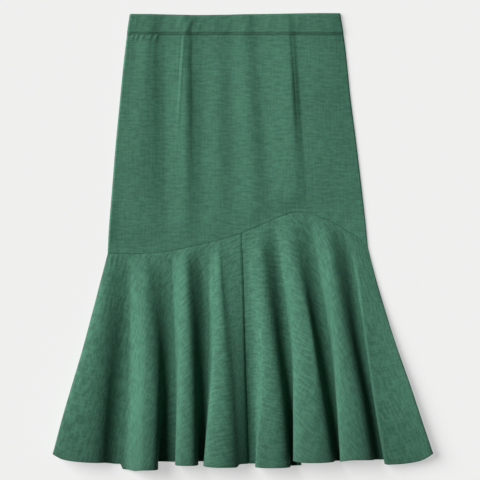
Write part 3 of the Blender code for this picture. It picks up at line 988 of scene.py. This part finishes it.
def make_band(name, rest, upwards):
    """One half of the band: the front, which shows upwards, or the back."""
    across = graded((0.006, 4), (0.994, 200), (1.0, 4))
    down = graded((0.10, 5), (0.82, 12), (0.93, 8), (1.0, 5))
    share = column(down)
    left, right = sides_at(BAND_SEAM * share)
    x = mix(left, right, across)
    top = waist_top(x)
    drop = mix(top, BAND_SEAM - SEAM_GAP / 2, share)
    from_top = drop - top
    from_seam = BAND_SEAM - drop
    from_side = np.minimum(x - left, right - x)
    relief = crease_relief(BAND_RIPPLES, x, from_top) * (1 if upwards else BACK_RIPPLES)
    thinned = ease((BAND_STITCH_ABOVE - from_seam) / BAND_STEP_WIDTH + 0.5)
    relief -= BAND_STEP * thinned
    if upwards:
        relief += seam_relief(from_seam) + swell_height(x, drop, left, right)
        relief -= BAND_ROLL * hill(from_top, BAND_ROLL_WIDTH)
        relief -= SIDE_ROLL * hill(from_side, SIDE_ROLL_WIDTH)
    else:
        relief = np.abs(relief)
    points = place(x, drop, rest + relief)
    cut = np.stack(np.broadcast_arrays(x + BAND_ON_CUT, from_seam), axis=-1)
    thickness = mix(BAND_CLOTH, BAND_EDGE_CLOTH, thinned)
    band = make_cloth(name, points, cut, band_linen, thickness)
    row = nearest_row(from_seam.mean(axis=1), BAND_STITCH_ABOVE)
    thick = thickness[row][:, None]
    side = 1 if upwards else -1
    return band, sew_row(name + "_stitches", points, row, thick, BAND_STITCH_MARGIN, side)


band_front, band_front_stitches = make_band("band_front_cloth", BAND_FRONT_REST, True)
band_back, band_back_stitches = make_band("band_back_cloth", BAND_BACK_REST, False)

# %% [markdown]
# ## The hip panel
#
# One smooth piece from the band to the curved seam. Its columns lie close together at the darts, at
# the sides and between the left side and its dart. Just under the band the cloth is puckered where
# the elastic has drawn it up, most clearly at the left. The panel comes out of the band's seam a
# little higher than it lies further down, and its folds run out shortly before the curved seam. The
# grain wanders a little, since cloth is never pressed quite straight.

# %% Front panel
DART_REACH = 0.009  # on both sides of a dart the columns are close together
PANEL_TOP_REST = 0.0031
BAND_BLEND = 0.025
SEAM_CALM = 0.12  # share of the panel's length over which its folds run out
GRAIN_SLANT = 0.03
GRAIN_WANDER = 0.0012
WANDER_TURNS = (31.0, 23.0)  # radians per metre across and down
WANDER_FROM = 0.004  # so that the dark line beside the band's seam stays straight
WANDER_GROWS = 0.040
PANEL_PUCKERS = (
    Crease(-0.1915, 0.042, -0.40, 0.020, 0.0026, 0.00105),
    Crease(-0.1840, 0.042, -0.40, 0.022, 0.0026, 0.00120),
    Crease(-0.1745, 0.042, -0.35, 0.020, 0.0028, 0.00100),
    Crease(-0.1605, 0.042, -0.40, 0.020, 0.0026, 0.00080),
    Crease(-0.1505, 0.042, -0.40, 0.022, 0.0028, 0.00100),
    Crease(-0.093, 0.055, 0.10, 0.026, 0.0016, 0.00025),
    Crease(-0.072, 0.050, 0.00, 0.020, 0.0018, 0.00020),
    Crease(0.030, 0.050, 0.10, 0.022, 0.0022, 0.00020),
    Crease(0.140, 0.048, 0.15, 0.020, 0.0018, 0.00025),
    Crease(0.152, 0.046, 0.20, 0.016, 0.0014, 0.00020),
)


def panel_columns(side_drop):
    """X of the columns down the rows: fine at the sides, at the left and at both darts."""
    left, right = sides_at(side_drop)
    from_edge = graded((0.05, 6), (1.0, 54))[:-1]
    to_edge = mirrored(graded((0.05, 6), (1.0, 24)))[:-1]
    guides = [(left, from_edge)]
    for dart, shares in zip(DARTS, (graded((1.0, 66))[:-1], to_edge)):
        middle = dart_x(dart, side_drop)
        guides += [(middle - DART_REACH, graded((1.0, 24))[:-1]), (middle + DART_REACH, shares)]
    ends = [end for end, _ in guides[1:]] + [right]
    parts = [mix(start, end, shares) for (start, shares), end in zip(guides, ends)]
    return np.concatenate(parts + [right], axis=1)


def make_front_panel():
    down = graded((0.012, 6), (0.985, 150), (1.0, 7))
    share = column(down)
    top = BAND_SEAM + SEAM_GAP / 2
    side_drop = mix(top, PANEL_SIDES[-1].drop, share)
    x = panel_columns(side_drop)
    seam = read_table(FRONT_SEAM, "drop", x) - SEAM_GAP / 2
    drop = mix(top, seam, share)
    left, right = x[:, :1], x[:, -1:]
    from_side = np.minimum(x - left, right - x)
    relief = swell_height(x, drop, left, right) + dart_relief(x, drop)
    relief += crease_relief(PANEL_PUCKERS, x, drop)
    relief *= ease((1 - share) / SEAM_CALM)
    relief += seam_relief(drop - top, 0.0) + seam_relief(seam - drop, curved_sink(x, True))
    relief -= SIDE_ROLL * hill(from_side, SIDE_ROLL_WIDTH)
    height = mix(PANEL_TOP_REST, FRONT_REST, ease((drop - top) / BAND_BLEND)) + relief
    waves = np.sin(x * WANDER_TURNS[0]) * np.sin(drop * WANDER_TURNS[1])
    wander = GRAIN_SLANT * x + GRAIN_WANDER * waves
    wander *= ease((drop - top - WANDER_FROM) / WANDER_GROWS)
    cut = np.stack(np.broadcast_arrays(x, top - drop + wander), axis=-1)
    return make_cloth("skirt_front_cloth", place(x, drop, height), cut, skirt_linen)


panel_front = make_front_panel()

# %% [markdown]
# ## The back panel
#
# The back lies on the table and is seen only when the skirt is turned over. It gets a few low
# creases that arch up from the table, since cloth can't sink into it.

# %% Back panel
BACK_CREASES = (
    Crease(-0.150, 0.140, -0.06, 0.190, 0.0100, 0.00045),
    Crease(-0.080, 0.230, 0.05, 0.230, 0.0130, 0.00050),
    Crease(-0.015, 0.110, 0.02, 0.140, 0.0090, 0.00040),
    Crease(0.055, 0.260, 0.04, 0.210, 0.0120, 0.00045),
    Crease(0.110, 0.160, 0.08, 0.200, 0.0110, 0.00050),
    Crease(0.150, 0.330, 0.10, 0.150, 0.0100, 0.00035),
)
BACK_EDGE_LIFT = 0.00012
BACK_EDGE_WIDTH = 0.002
BACK_ON_CUT = 1.3
BACK_SLANT = -0.02


def make_back_panel():
    share = column(graded((0.012, 4), (0.988, 90), (1.0, 4)))
    top = BAND_SEAM + SEAM_GAP / 2
    left, right = sides_at(mix(top, PANEL_SIDES[-1].drop, share))
    x = mix(left, right, graded((0.006, 3), (0.994, 110), (1.0, 3)))
    seam = back_seam(x) - SEAM_GAP / 2
    drop = mix(top, seam, share)
    relief = crease_relief(BACK_CREASES, x, drop)
    relief += BACK_EDGE_LIFT * hill(seam - drop, BACK_EDGE_WIDTH)
    cut = np.stack(np.broadcast_arrays(x + BACK_ON_CUT, -drop + BACK_SLANT * x), axis=-1)
    return make_cloth("skirt_back_cloth", place(x, drop, BACK_REST + relief), cut, skirt_linen)


panel_back = make_back_panel()

# %% [markdown]
# ## The flounce's folds
#
# A circular-cut flounce is longer along its hem than along its seam, and the spare length stands up
# in folds. Close to the seam a fold is a soft swell. At the hem it has a broad top, tight shoulders
# and sides that stand upright or even lean over.
#
# Every fold has several cross-sections, from the seam (share 0) to the hem (share 1). Each gives the
# height of the crest and the x of five stations: foot, steepest place, crest, steepest place, foot.
# At a fold that ends at a side, the two stations nearest to that side are measured from it. A fold
# also says
#
# - hangs: how far each station hangs below the level hem;
# - square_left and square_right: from 0 for a soft side to 1 for an upright one, at the hem;
# - level_left and level_right: how high up each side is steepest there, as a share of the crest;
# - tilt: how steeply its top falls to the right;
# - boxy_from: the share of the length at which it has reached that form;
# - ends_at: the side or the centre seam that it runs into, or None.
#
# The Centre table does the same for the seam in the middle: its place, its height above the rest,
# and how steeply the cloth falls towards the right on both sides of it.

# %% Fold tables
Cross = namedtuple("Cross", "share height foot_left steep_left crest steep_right foot_right")
Fold = namedtuple(
    "Fold", "hangs square_left square_right level_left level_right tilt boxy_from ends_at crosses"
)
Hangs = namedtuple("Hangs", "foot_left steep_left crest steep_right foot_right")
LEFT_FOLDS = (
    Fold(Hangs(-0.0010, -0.0015, -0.0016, -0.0006, 0.0022), 1.0, 0.5, 0.88, 0.50, 0.05, 0.9, "left side", (
        Cross(0.00, 0.0000, 0.0008, 0.0012, -0.2280, -0.2130, -0.2015),
        Cross(0.15, 0.0062, 0.0008, 0.0010, -0.2380, -0.2180, -0.1995),
        Cross(0.50, 0.0190, 0.0008, 0.0006, -0.2600, -0.2280, -0.2010),
        Cross(1.00, 0.0290, 0.0008, 0.0004, -0.2920, -0.2430, -0.2140),
    )),
    Fold(Hangs(0.0115, 0.0128, 0.0107, 0.0104, -0.0021), 0.3, 1.0, 0.60, 0.55, 0.00, 0.9, None, (
        Cross(0.00, 0.0000, -0.2000, -0.1890, -0.1690, -0.1550, -0.1300),
        Cross(0.15, 0.0098, -0.1980, -0.1860, -0.1685, -0.1500, -0.1260),
        Cross(0.50, 0.0222, -0.1995, -0.1830, -0.1670, -0.1430, -0.1215),
        Cross(1.00, 0.0375, -0.2090, -0.1890, -0.1715, -0.1475, -0.1470),
    )),
    Fold(Hangs(-0.0016, 0.0024, 0.0029, 0.0028, -0.0024), 1.0, 0.8, 0.60, 0.44, 0.00, 0.9, None, (
        Cross(0.00, 0.0000, -0.1275, -0.1110, -0.0990, -0.0870, -0.0700),
        Cross(0.07, 0.0080, -0.1250, -0.1120, -0.0995, -0.0865, -0.0710),
        Cross(0.20, 0.0148, -0.1215, -0.1130, -0.0980, -0.0825, -0.0645),
        Cross(0.50, 0.0235, -0.1180, -0.1130, -0.0955, -0.0790, -0.0610),
        Cross(1.00, 0.0345, -0.1160, -0.1170, -0.0960, -0.0775, -0.0790),
    )),
    Fold(Hangs(-0.0024, 0.0040, 0.0062, 0.0063, 0.0), 0.8, 0.28, 0.70, 0.68, 0.00, 0.9, "centre", (
        Cross(0.00, 0.0000, -0.0620, -0.0510, -0.0412, -0.0330, 0.0),
        Cross(0.15, 0.0088, -0.0600, -0.0510, -0.0395, -0.0302, 0.0),
        Cross(0.50, 0.0205, -0.0590, -0.0520, -0.0340, -0.0190, 0.0),
        Cross(1.00, 0.0340, -0.0675, -0.0675, -0.0380, -0.0105, 0.0),
    )),
)
RIGHT_FOLDS = (
    Fold(Hangs(0.0011, 0.0056, 0.0070, 0.0062, 0.0052), 0.9, 0.9, 0.86, 0.50, 0.00, 0.9, "centre", (
        Cross(0.00, 0.0000, 0.0040, 0.0160, 0.0290, 0.0400, 0.0510),
        Cross(0.15, 0.0088, 0.0055, 0.0200, 0.0330, 0.0475, 0.0620),
        Cross(0.50, 0.0195, 0.0150, 0.0335, 0.0460, 0.0640, 0.0815),
        Cross(0.75, 0.0262, 0.0195, 0.0315, 0.0540, 0.0755, 0.0845),
        Cross(0.88, 0.0292, 0.0225, 0.0255, 0.0530, 0.0792, 0.0850),
        Cross(1.00, 0.0320, 0.0235, 0.0225, 0.0510, 0.0830, 0.0855),
    )),
    Fold(Hangs(0.0045, -0.0047, -0.0019, -0.0033, -0.0032), 0.85, 1.0, 0.62, 0.50, 0.00, 0.9, None, (
        Cross(0.00, 0.0000, 0.0530, 0.0630, 0.0775, 0.0940, 0.1120),
        Cross(0.15, 0.0078, 0.0640, 0.0735, 0.0870, 0.1045, 0.1230),
        Cross(0.50, 0.0200, 0.0835, 0.0880, 0.1190, 0.1280, 0.1495),
        Cross(0.75, 0.0272, 0.0905, 0.0885, 0.1235, 0.1440, 0.1590),
        Cross(1.00, 0.0340, 0.1010, 0.0885, 0.1190, 0.1600, 0.1655),
    )),
    Fold(Hangs(-0.0035, -0.0032, -0.0066, -0.0060, -0.0053), 1.0, 0.8, 0.65, 0.50, 0.00, 0.9, None, (
        Cross(0.00, 0.0000, 0.1145, 0.1290, 0.1450, 0.1630, 0.1795),
        Cross(0.15, 0.0105, 0.1260, 0.1390, 0.1550, 0.1725, 0.1910),
        Cross(0.50, 0.0205, 0.1520, 0.1570, 0.1730, 0.1940, 0.2110),
        Cross(0.75, 0.0268, 0.1625, 0.1640, 0.1860, 0.2130, 0.2270),
        Cross(1.00, 0.0320, 0.1725, 0.1705, 0.1985, 0.2290, 0.2465),
    )),
    Fold(Hangs(-0.0040, 0.0012, 0.0026, 0.0, 0.0), 1.0, 1.0, 0.90, 0.80, 0.12, 0.5, "right side", (
        Cross(0.00, 0.0000, 0.1820, 0.1870, 0.1960, -0.0020, -0.0006),
        Cross(0.15, 0.0020, 0.1930, 0.1985, 0.2040, -0.0010, -0.0006),
        Cross(0.50, 0.0080, 0.2150, 0.2175, 0.2230, -0.0006, -0.0004),
        Cross(0.75, 0.0128, 0.2300, 0.2310, 0.2380, -0.0004, -0.0004),
        Cross(1.00, 0.0165, 0.2490, 0.2480, 0.2550, -0.0002, -0.0004),
    )),
)
SIDE_HANGS = 0.0
CENTRE_HANGS = 0.0011

Centre = namedtuple("Centre", "share x height fall_left fall_right")
CENTRE = (
    Centre(0.00, -0.0008, 0.0000, 0.02, -0.10),
    Centre(0.15, 0.0010, 0.0042, 0.05, -0.09),
    Centre(0.30, 0.0028, 0.0066, 0.20, 0.00),
    Centre(0.50, 0.0051, 0.0080, 0.42, 0.14),
    Centre(0.80, 0.0086, 0.0080, 0.84, 0.40),
    Centre(1.00, 0.0109, 0.0064, 0.95, 0.30),
)
print("folds:", len(LEFT_FOLDS), "on the left,", len(RIGHT_FOLDS), "on the right")

# %% [markdown]
# ## Stations of a fold
#
# At any share of the flounce's length we can now list a fold's stations with their heights. Each
# also says how the cloth passes through it. A foot or a crest is level or tilted; a steepest place
# leans, from 1 for a soft slope to 0 for an upright wall. Fullness belongs to the stretch from a
# station to the next one, and tells how far that stretch keeps close to its ends before it turns.
#
# Folds stop rising shortly before the hem, where the cloth's weight pulls them flat. At the centre
# seam the right half is tucked a little under the left one.

# %% Stations of a fold
SOFT_FULLNESS = 1.1
BOXY_FULLNESS = 2.1
SOFT_LEVEL = 0.5  # near the seam, sides are steepest halfway up
SETTLE = 0.05
SETTLE_FROM = 0.70
CENTRE_STEP = 0.0015
CENTRE_STEP_FADE = 0.12

Station = namedtuple("Station", "x height lean tilt fullness")


def side_at(name, share):
    """X of a side of the flounce."""
    return read_table(FLOUNCE_SIDES, name, share)


def centre_height(share, on_left):
    """Height beside the centre seam, on its left or on its right."""
    step = 0.0 if on_left else CENTRE_STEP * ease(share / CENTRE_STEP_FADE)
    return read_table(CENTRE, "height", share) - step


def centre_foot(x, share):
    """Height of the foot to the right of the centre seam, where the fall from the seam runs out."""
    away = x - read_table(CENTRE, "x", share)
    return centre_height(share, False) - read_table(CENTRE, "fall_right", share) * away / 2


def settled(share):
    return 1.0 - SETTLE * ease((share - SETTLE_FROM) / (1.0 - SETTLE_FROM))


def fold_stations(fold, share, on_left):
    """Foot, steepest place, crest, steepest place and foot of a fold of the left or right half."""
    x = {name: read_table(fold.crosses, name, share) for name in Cross._fields[1:]}
    rise = x["height"] * settled(share)
    for side in ("left", "right"):
        if fold.ends_at == side + " side":
            x["foot_" + side] += side_at(side, share)
            x["steep_" + side] += side_at(side, share)
    squared = ease(share / fold.boxy_from)
    left = squared * fold.square_left
    right = squared * fold.square_right
    left_full = mix(SOFT_FULLNESS, BOXY_FULLNESS, left)
    right_full = mix(SOFT_FULLNESS, BOXY_FULLNESS, right)
    starts_in_seam = fold.ends_at == "centre" and not on_left
    ends_in_seam = fold.ends_at == "centre" and on_left
    floor = np.zeros_like(share)
    left_floor = centre_foot(x["foot_left"], share) if starts_in_seam else floor
    right_floor = centre_height(share, True) if ends_in_seam else floor
    left_height = mix(left_floor, rise, mix(SOFT_LEVEL, fold.level_left, squared))
    right_height = mix(right_floor, rise, mix(SOFT_LEVEL, fold.level_right, squared))
    plain = np.full_like(share, SOFT_FULLNESS)
    stations = [
        Station(x["foot_left"], left_floor, None, 0.0, left_full),
        Station(x["steep_left"], left_height, 1.0 - left, 0.0, left_full),
        Station(x["crest"], rise, None, fold.tilt * squared, right_full),
        Station(x["steep_right"], right_height, 1.0 - right, 0.0, right_full),
        Station(x["foot_right"], right_floor, None, 0.0, plain),
    ]
    return stations[:-1] if ends_in_seam else stations


at_hem = np.array([1.0])
tall_fold = fold_stations(LEFT_FOLDS[1], at_hem, on_left=True)
print("a tall fold at the hem, x in mm:", [round(float(s.x[0]) * 1000) for s in tall_fold])
print("and its heights, mm:", [round(float(s.height[0]) * 1000) for s in tall_fold])

# %% [markdown]
# ## Slopes between the stations
#
# The cloth follows a cubic from each station to the next, once for x and once for height, so that
# it can stand upright or lean over. The slopes at both ends of a stretch decide its form. At a foot
# or a crest they run level, and a longer reach makes a broader top with tighter shoulders. At a
# steepest place the two neighbours give the direction, so that the line has no corner there.

# %% Slopes between the stations
CORNER_REACH = 0.004  # the shortest reach, where a side stands straight up
FLAT = 1e-9


def slopes_at(stations, index, here, there):
    """Slopes across and up at a station, for the stretch from here to there."""
    station = stations[index]
    climb = there.height - here.height
    if station.lean is None:
        reach = np.abs(there.x - here.x)
        rises = np.abs(climb) > FLAT
        reach = np.where(rises, np.maximum(reach, CORNER_REACH) * here.fullness, reach)
        return reach, -station.tilt * reach
    across = (stations[index + 1].x - stations[index - 1].x) / 2 * station.lean
    up = (stations[index + 1].height - stations[index - 1].height) / 2
    ratio = np.divide(climb, up, out=np.ones_like(up), where=np.abs(up) > FLAT)
    return across * ratio, climb * here.fullness


across, up = slopes_at(tall_fold, 1, tall_fold[1], tall_fold[2])
print("its left side climbs", round(float(up[0] / across[0]), 1), "times as fast as it runs across")

# %% [markdown]
# ## The two halves of the front flounce
#
# A half is a walk over all its stations, from the side seam to the centre seam or the other way
# round, always from left to right. Every stretch between two stations has its own columns, more of
# them where the cloth bends. The hem hangs a little lower at some stations than at others, and steps
# up quickly from the last fold on the left into the valley at the centre seam.

# %% Halves of the front flounce
SIDE_COLUMNS = graded((0.4, 3), (1.0, 2))
FLANK_COLUMNS = graded((1.0, 8))
CROWN_COLUMNS = graded((1.0, 9))
VALLEY_COLUMNS = graded((1.0, 4))
TO_CENTRE_COLUMNS = mirrored(graded((0.06, 3), (0.3, 4), (1.0, 6)))
VALLEY_STEP = 3.5  # the hem's step takes only the first part of the stretch: 1 divided by this


class FlounceHalf:
    """The front flounce on one side of its centre seam. The left half ends at it."""

    def __init__(self, folds, centre_at_end):
        self.folds = folds
        self.centre_at_end = centre_at_end
        fold = [FLANK_COLUMNS, CROWN_COLUMNS, CROWN_COLUMNS, FLANK_COLUMNS, VALLEY_COLUMNS]
        parts = fold * len(folds)
        if centre_at_end:
            self.parts = [SIDE_COLUMNS] + parts[:-2] + [TO_CENTRE_COLUMNS]
        else:
            self.parts = [mirrored(TO_CENTRE_COLUMNS)] + parts[:-1] + [mirrored(SIDE_COLUMNS)]
        self.count = sum(len(part) - 1 for part in self.parts) + 1
        ends = np.array([[0.0], [1.0]]) + np.zeros(self.count)
        x, _ = self.section(ends)
        self.seam_x = x[0]
        self.seam_drops = read_table(FRONT_SEAM, "drop", x[0])
        self.hem_drops = read_table(HEM, "drop", x[1]) + self.hang()

    def stations(self, share):
        """Every station of the half, at an array of shares of the flounce's length."""
        side = side_at("left" if self.centre_at_end else "right", share)
        centre = read_table(CENTRE, "x", share) + SEAM_GAP / 2 * (-1 if self.centre_at_end else 1)
        fall = read_table(CENTRE, "fall_left" if self.centre_at_end else "fall_right", share)
        plain = np.full_like(share, SOFT_FULLNESS)
        at_side = Station(side, np.zeros_like(share), None, 0.0, plain)
        at_centre = Station(centre, centre_height(share, self.centre_at_end), None, fall, plain)
        folds = []
        for fold in self.folds:
            folds += fold_stations(fold, share, self.centre_at_end)
        if self.centre_at_end:
            return [at_side] + folds + [at_centre]
        return [at_centre] + folds + [at_side]

    def section(self, share):
        """X and height at every column of the half, for an array of shares with as many columns."""
        x = np.empty_like(share)
        height = np.empty_like(share)
        start = 0
        for index, part in enumerate(self.parts):
            columns = slice(start, start + len(part))
            stations = self.stations(share[:, columns])
            here, there = stations[index : index + 2]
            across, up = slopes_at(stations, index, here, there)
            next_across, next_up = slopes_at(stations, index + 1, here, there)
            x[:, columns] = hermite(here.x, across, there.x, next_across, part)
            height[:, columns] = hermite(here.height, up, there.height, next_up, part)
            start += len(part) - 1
        return x, height

    def hang(self):
        """How far each column hangs below the level hem."""
        at_stations = [hang for fold in self.folds for hang in fold.hangs]
        if self.centre_at_end:
            at_stations = [SIDE_HANGS] + at_stations[:-1] + [CENTRE_HANGS]
        else:
            at_stations = [CENTRE_HANGS] + at_stations + [SIDE_HANGS]
        hangs = []
        for index, part in enumerate(self.parts):
            is_valley = self.centre_at_end and index == len(self.parts) - 1
            share = ease(part * VALLEY_STEP) if is_valley else ease(part)
            hangs.append(mix(at_stations[index], at_stations[index + 1], share)[:-1])
        return np.concatenate(hangs + [at_stations[-1:]])

    def drop_at(self, share):
        return mix(self.seam_drops, self.hem_drops, share)

    def share_at(self, drop):
        return (drop - self.seam_drops) / (self.hem_drops - self.seam_drops)


left_half = FlounceHalf(LEFT_FOLDS, centre_at_end=True)
right_half = FlounceHalf(RIGHT_FOLDS, centre_at_end=False)
print("columns:", left_half.count, "on the left,", right_half.count, "on the right")

# %% [markdown]
# ## The front flounce
#
# The flat cut of a circular flounce is a sector of a ring. Its grain runs along the centre seam, so
# towards the side seams the weft climbs steeper and steeper. The Cut map gives each column its
# angle in that ring. The hem is turned up narrowly and stitched: the cloth is thicker there, and
# the stitches sit in a shallow groove. The left half turns down into the centre seam. Below the
# curved seam the gathered edge leaves short puckers, sharpest at the far left.

# %% Front flounce
HEM_TURN = 0.0058
HEM_CLOTH = 0.0013
HEM_STEP_WIDTH = 0.0015
HEM_STITCH_AT = 0.0050
HEM_STITCH_MARGIN = 4  # columns without stitches at each end
HEM_DIP = 0.00025
HEM_DIP_WIDTH = 0.0011
CENTRE_SINK = 0.0010
CENTRE_SINK_WIDTH = 0.0022
PUCKERS_BEGIN = 0.006  # they reach their full height this far below the seam
FLOUNCE_ROWS = graded((0.006, 4), (0.04, 14), (0.965, 112), (0.981, 4), (0.992, 9), (1.0, 5))
FLOUNCE_PUCKERS = (
    Crease(-0.231, 0.436, -0.12, 0.030, 0.0016, 0.00045),
    Crease(-0.2265, 0.434, -0.10, 0.026, 0.0014, -0.00035),
    Crease(-0.222, 0.437, -0.14, 0.034, 0.0017, 0.00045),
    Crease(-0.2165, 0.433, -0.12, 0.024, 0.0015, -0.00035),
    Crease(-0.196, 0.438, -0.55, 0.036, 0.0019, 0.00035),
    Crease(-0.186, 0.440, -0.60, 0.040, 0.0020, 0.00035),
    Crease(-0.171, 0.437, -0.55, 0.034, 0.0019, 0.00030),
    Crease(-0.160, 0.429, -0.40, 0.022, 0.0014, -0.00030),
    Crease(-0.128, 0.430, -0.45, 0.034, 0.0020, 0.00030),
    Crease(-0.119, 0.424, -0.40, 0.026, 0.0016, -0.00025),
    Crease(-0.087, 0.420, -0.30, 0.030, 0.0018, 0.00025),
    Crease(-0.052, 0.414, -0.15, 0.026, 0.0018, 0.00025),
    Crease(-0.017, 0.402, 0.00, 0.024, 0.0016, 0.00025),
    Crease(0.018, 0.396, 0.05, 0.026, 0.0018, 0.00025),
    Crease(0.060, 0.376, 0.10, 0.028, 0.0020, 0.00025),
    Crease(0.096, 0.366, 0.10, 0.030, 0.0019, 0.00025),
    Crease(0.131, 0.372, 0.25, 0.030, 0.0018, 0.00030),
    Crease(0.160, 0.386, 0.35, 0.030, 0.0018, 0.00030),
    Crease(0.186, 0.404, 0.35, 0.028, 0.0018, 0.00030),
    Crease(0.204, 0.424, 0.35, 0.026, 0.0016, 0.00030),
)


def ring_cut(ring, walked, share):
    """Places on a flat ring, for the way walked along its seam from the straight grain."""
    angle = walked * GRAIN_TURN
    radius = 1.0 / GRAIN_TURN + FLOUNCE_DEPTH * share
    return np.stack([ring + radius * np.sin(angle), -radius * np.cos(angle)], axis=-1)


def flounce_cut(half, share):
    """The Cut map of one half, with the grain along the centre seam."""
    seam = np.stack([half.seam_x, half.seam_drops], axis=1)
    walked = np.concatenate([[0.0], np.cumsum(np.linalg.norm(np.diff(seam, axis=0), axis=1))])
    walked -= walked[-1] if half.centre_at_end else 0.0
    return ring_cut(FRONT_RING, walked, share)


def hem_thickness(from_hem):
    return mix(CLOTH, HEM_CLOTH, ease((HEM_TURN - from_hem) / HEM_STEP_WIDTH + 0.5))


def make_front_flounce(name, half):
    share = column(FLOUNCE_ROWS) + np.zeros(half.count)
    x, height = half.section(share)
    drop = half.drop_at(share) + SEAM_GAP / 2 * (1.0 - share)
    points = place(x, drop, FRONT_REST + height)
    from_seam = drop - half.seam_drops
    from_hem = half.hem_drops - drop
    from_left = np.cumsum(np.linalg.norm(np.diff(points, axis=1), axis=2), axis=1)
    from_left = np.concatenate([np.zeros((len(points), 1)), from_left], axis=1)
    from_right = from_left[:, -1:] - from_left
    relief = seam_relief(from_seam, curved_sink(half.seam_x, False))
    if half.centre_at_end:
        relief += seam_relief(from_right, CENTRE_SINK, CENTRE_SINK_WIDTH)
    from_side = from_left if half.centre_at_end else from_right
    relief -= SIDE_ROLL * hill(from_side, SIDE_ROLL_WIDTH)
    relief -= HEM_DIP * hill(from_hem - HEM_STITCH_AT, HEM_DIP_WIDTH)
    relief += crease_relief(FLOUNCE_PUCKERS, x, drop) * ease(from_seam / PUCKERS_BEGIN)
    points = raise_cloth(points, relief)
    cut = flounce_cut(half, share)
    cloth = make_cloth(name, points, cut, flounce_linen, hem_thickness(from_hem))
    row = nearest_row(from_hem[:, half.count // 2], HEM_STITCH_AT)
    return cloth, sew_row(name + "_hem_stitches", points, row, HEM_CLOTH, HEM_STITCH_MARGIN)


flounce_left, stitches_left = make_front_flounce("flounce_left_cloth", left_half)
flounce_right, stitches_right = make_front_flounce("flounce_right_cloth", right_half)

# %% [markdown]
# ## The back flounce
#
# It is folded in step with the front one and lies nested inside it. We take the front's surface at
# the same drop and move it inwards by the room between the two layers. Near its own straight seam
# it lies flat on the table.

# %% Back flounce
BACK_FADE = 0.060
NEST_SPREAD = 0.0008
NEST_SPREAD_RISE = 0.010
LAYER_ROOM = 0.0016


def make_back_flounce():
    down = graded((0.01, 3), (0.965, 96), (0.981, 3), (0.992, 6), (1.0, 4))
    share = column(down)
    parts = []
    for half, columns in ((left_half, slice(None, -1)), (right_half, slice(1, None))):
        top = back_seam(half.seam_x) + SEAM_GAP / 2
        drop = mix(top, half.hem_drops - BACK_HEM_SHORT, share)
        along = np.clip(half.share_at(drop), 0.0, 1.0)
        x, height = half.section(along)
        parts.append((x[:, columns], drop[:, columns], height[:, columns]))
    x, drop, height = (np.concatenate(pair, axis=1) for pair in zip(*parts))
    front = place(x, drop, FRONT_REST + height)
    room = LAYER_ROOM + NEST_SPREAD * ease(height / NEST_SPREAD_RISE)
    nested = raise_cloth(front, -room)
    risen = ease((drop - drop[:1]) / BACK_FADE)
    nested[..., 2] = BACK_REST + np.maximum(nested[..., 2] - BACK_REST, 0.0) * risen
    count = x.shape[1]
    walked = (np.arange(count) / (count - 1) - 0.5) * (x[0, -1] - x[0, 0])
    cut = ring_cut(BACK_RING, walked, share)
    from_hem = drop[-1:] - drop
    cloth = make_cloth("flounce_back_cloth", nested, cut, back_linen, hem_thickness(from_hem))
    row = nearest_row(from_hem[:, count // 2], HEM_STITCH_AT)
    sewn = sew_row("flounce_back_hem_stitches", nested, row, HEM_CLOTH, HEM_STITCH_MARGIN, side=-1)
    return cloth, sewn


flounce_back, stitches_back = make_back_flounce()

# %% [markdown]
# ## The pieces and their solids
#
# Each piece of cloth takes the place of its solid, which is hidden. The table lists for each piece
# its solid, its finish, the size it was cut to, its area, what it rests on and its stitches.

Sheet = namedtuple("Sheet", "piece node slot width length area rests_on extras")
SHEETS = (
    Sheet(
        band_front, "waistband_front", "waistband_cloth",
        0.378, 0.0355, None, "band_back_cloth", [band_front_stitches],
    ),
    Sheet(
        band_back, "waistband_back", "waistband_cloth",
        0.378, 0.0355, None, (), [band_back_stitches],
    ),
    Sheet(
        panel_front, "skirt_front", "skirt_cloth",
        0.459, 0.386, 0.146, "skirt_back_cloth", [],
    ),
    Sheet(
        panel_back, "skirt_back", "skirt_cloth",
        0.459, 0.386, 0.160, (), [],
    ),
    Sheet(
        flounce_left, "flounce_front_left", "skirt_cloth",
        0.51, 0.40, 0.140, "flounce_back_cloth", [stitches_left],
    ),
    Sheet(
        flounce_right, "flounce_front_right", "skirt_cloth",
        0.51, 0.44, 0.144, "flounce_back_cloth", [stitches_right],
    ),
    Sheet(
        flounce_back, "flounce_back", "skirt_cloth",
        1.00, 0.365, 0.266, (), [stitches_back],
    ),
)

for sheet in SHEETS:
    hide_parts(sheet.node)
    print(sheet.piece.name, "replaces", sheet.node, "and rests on", sheet.rests_on or "the table")
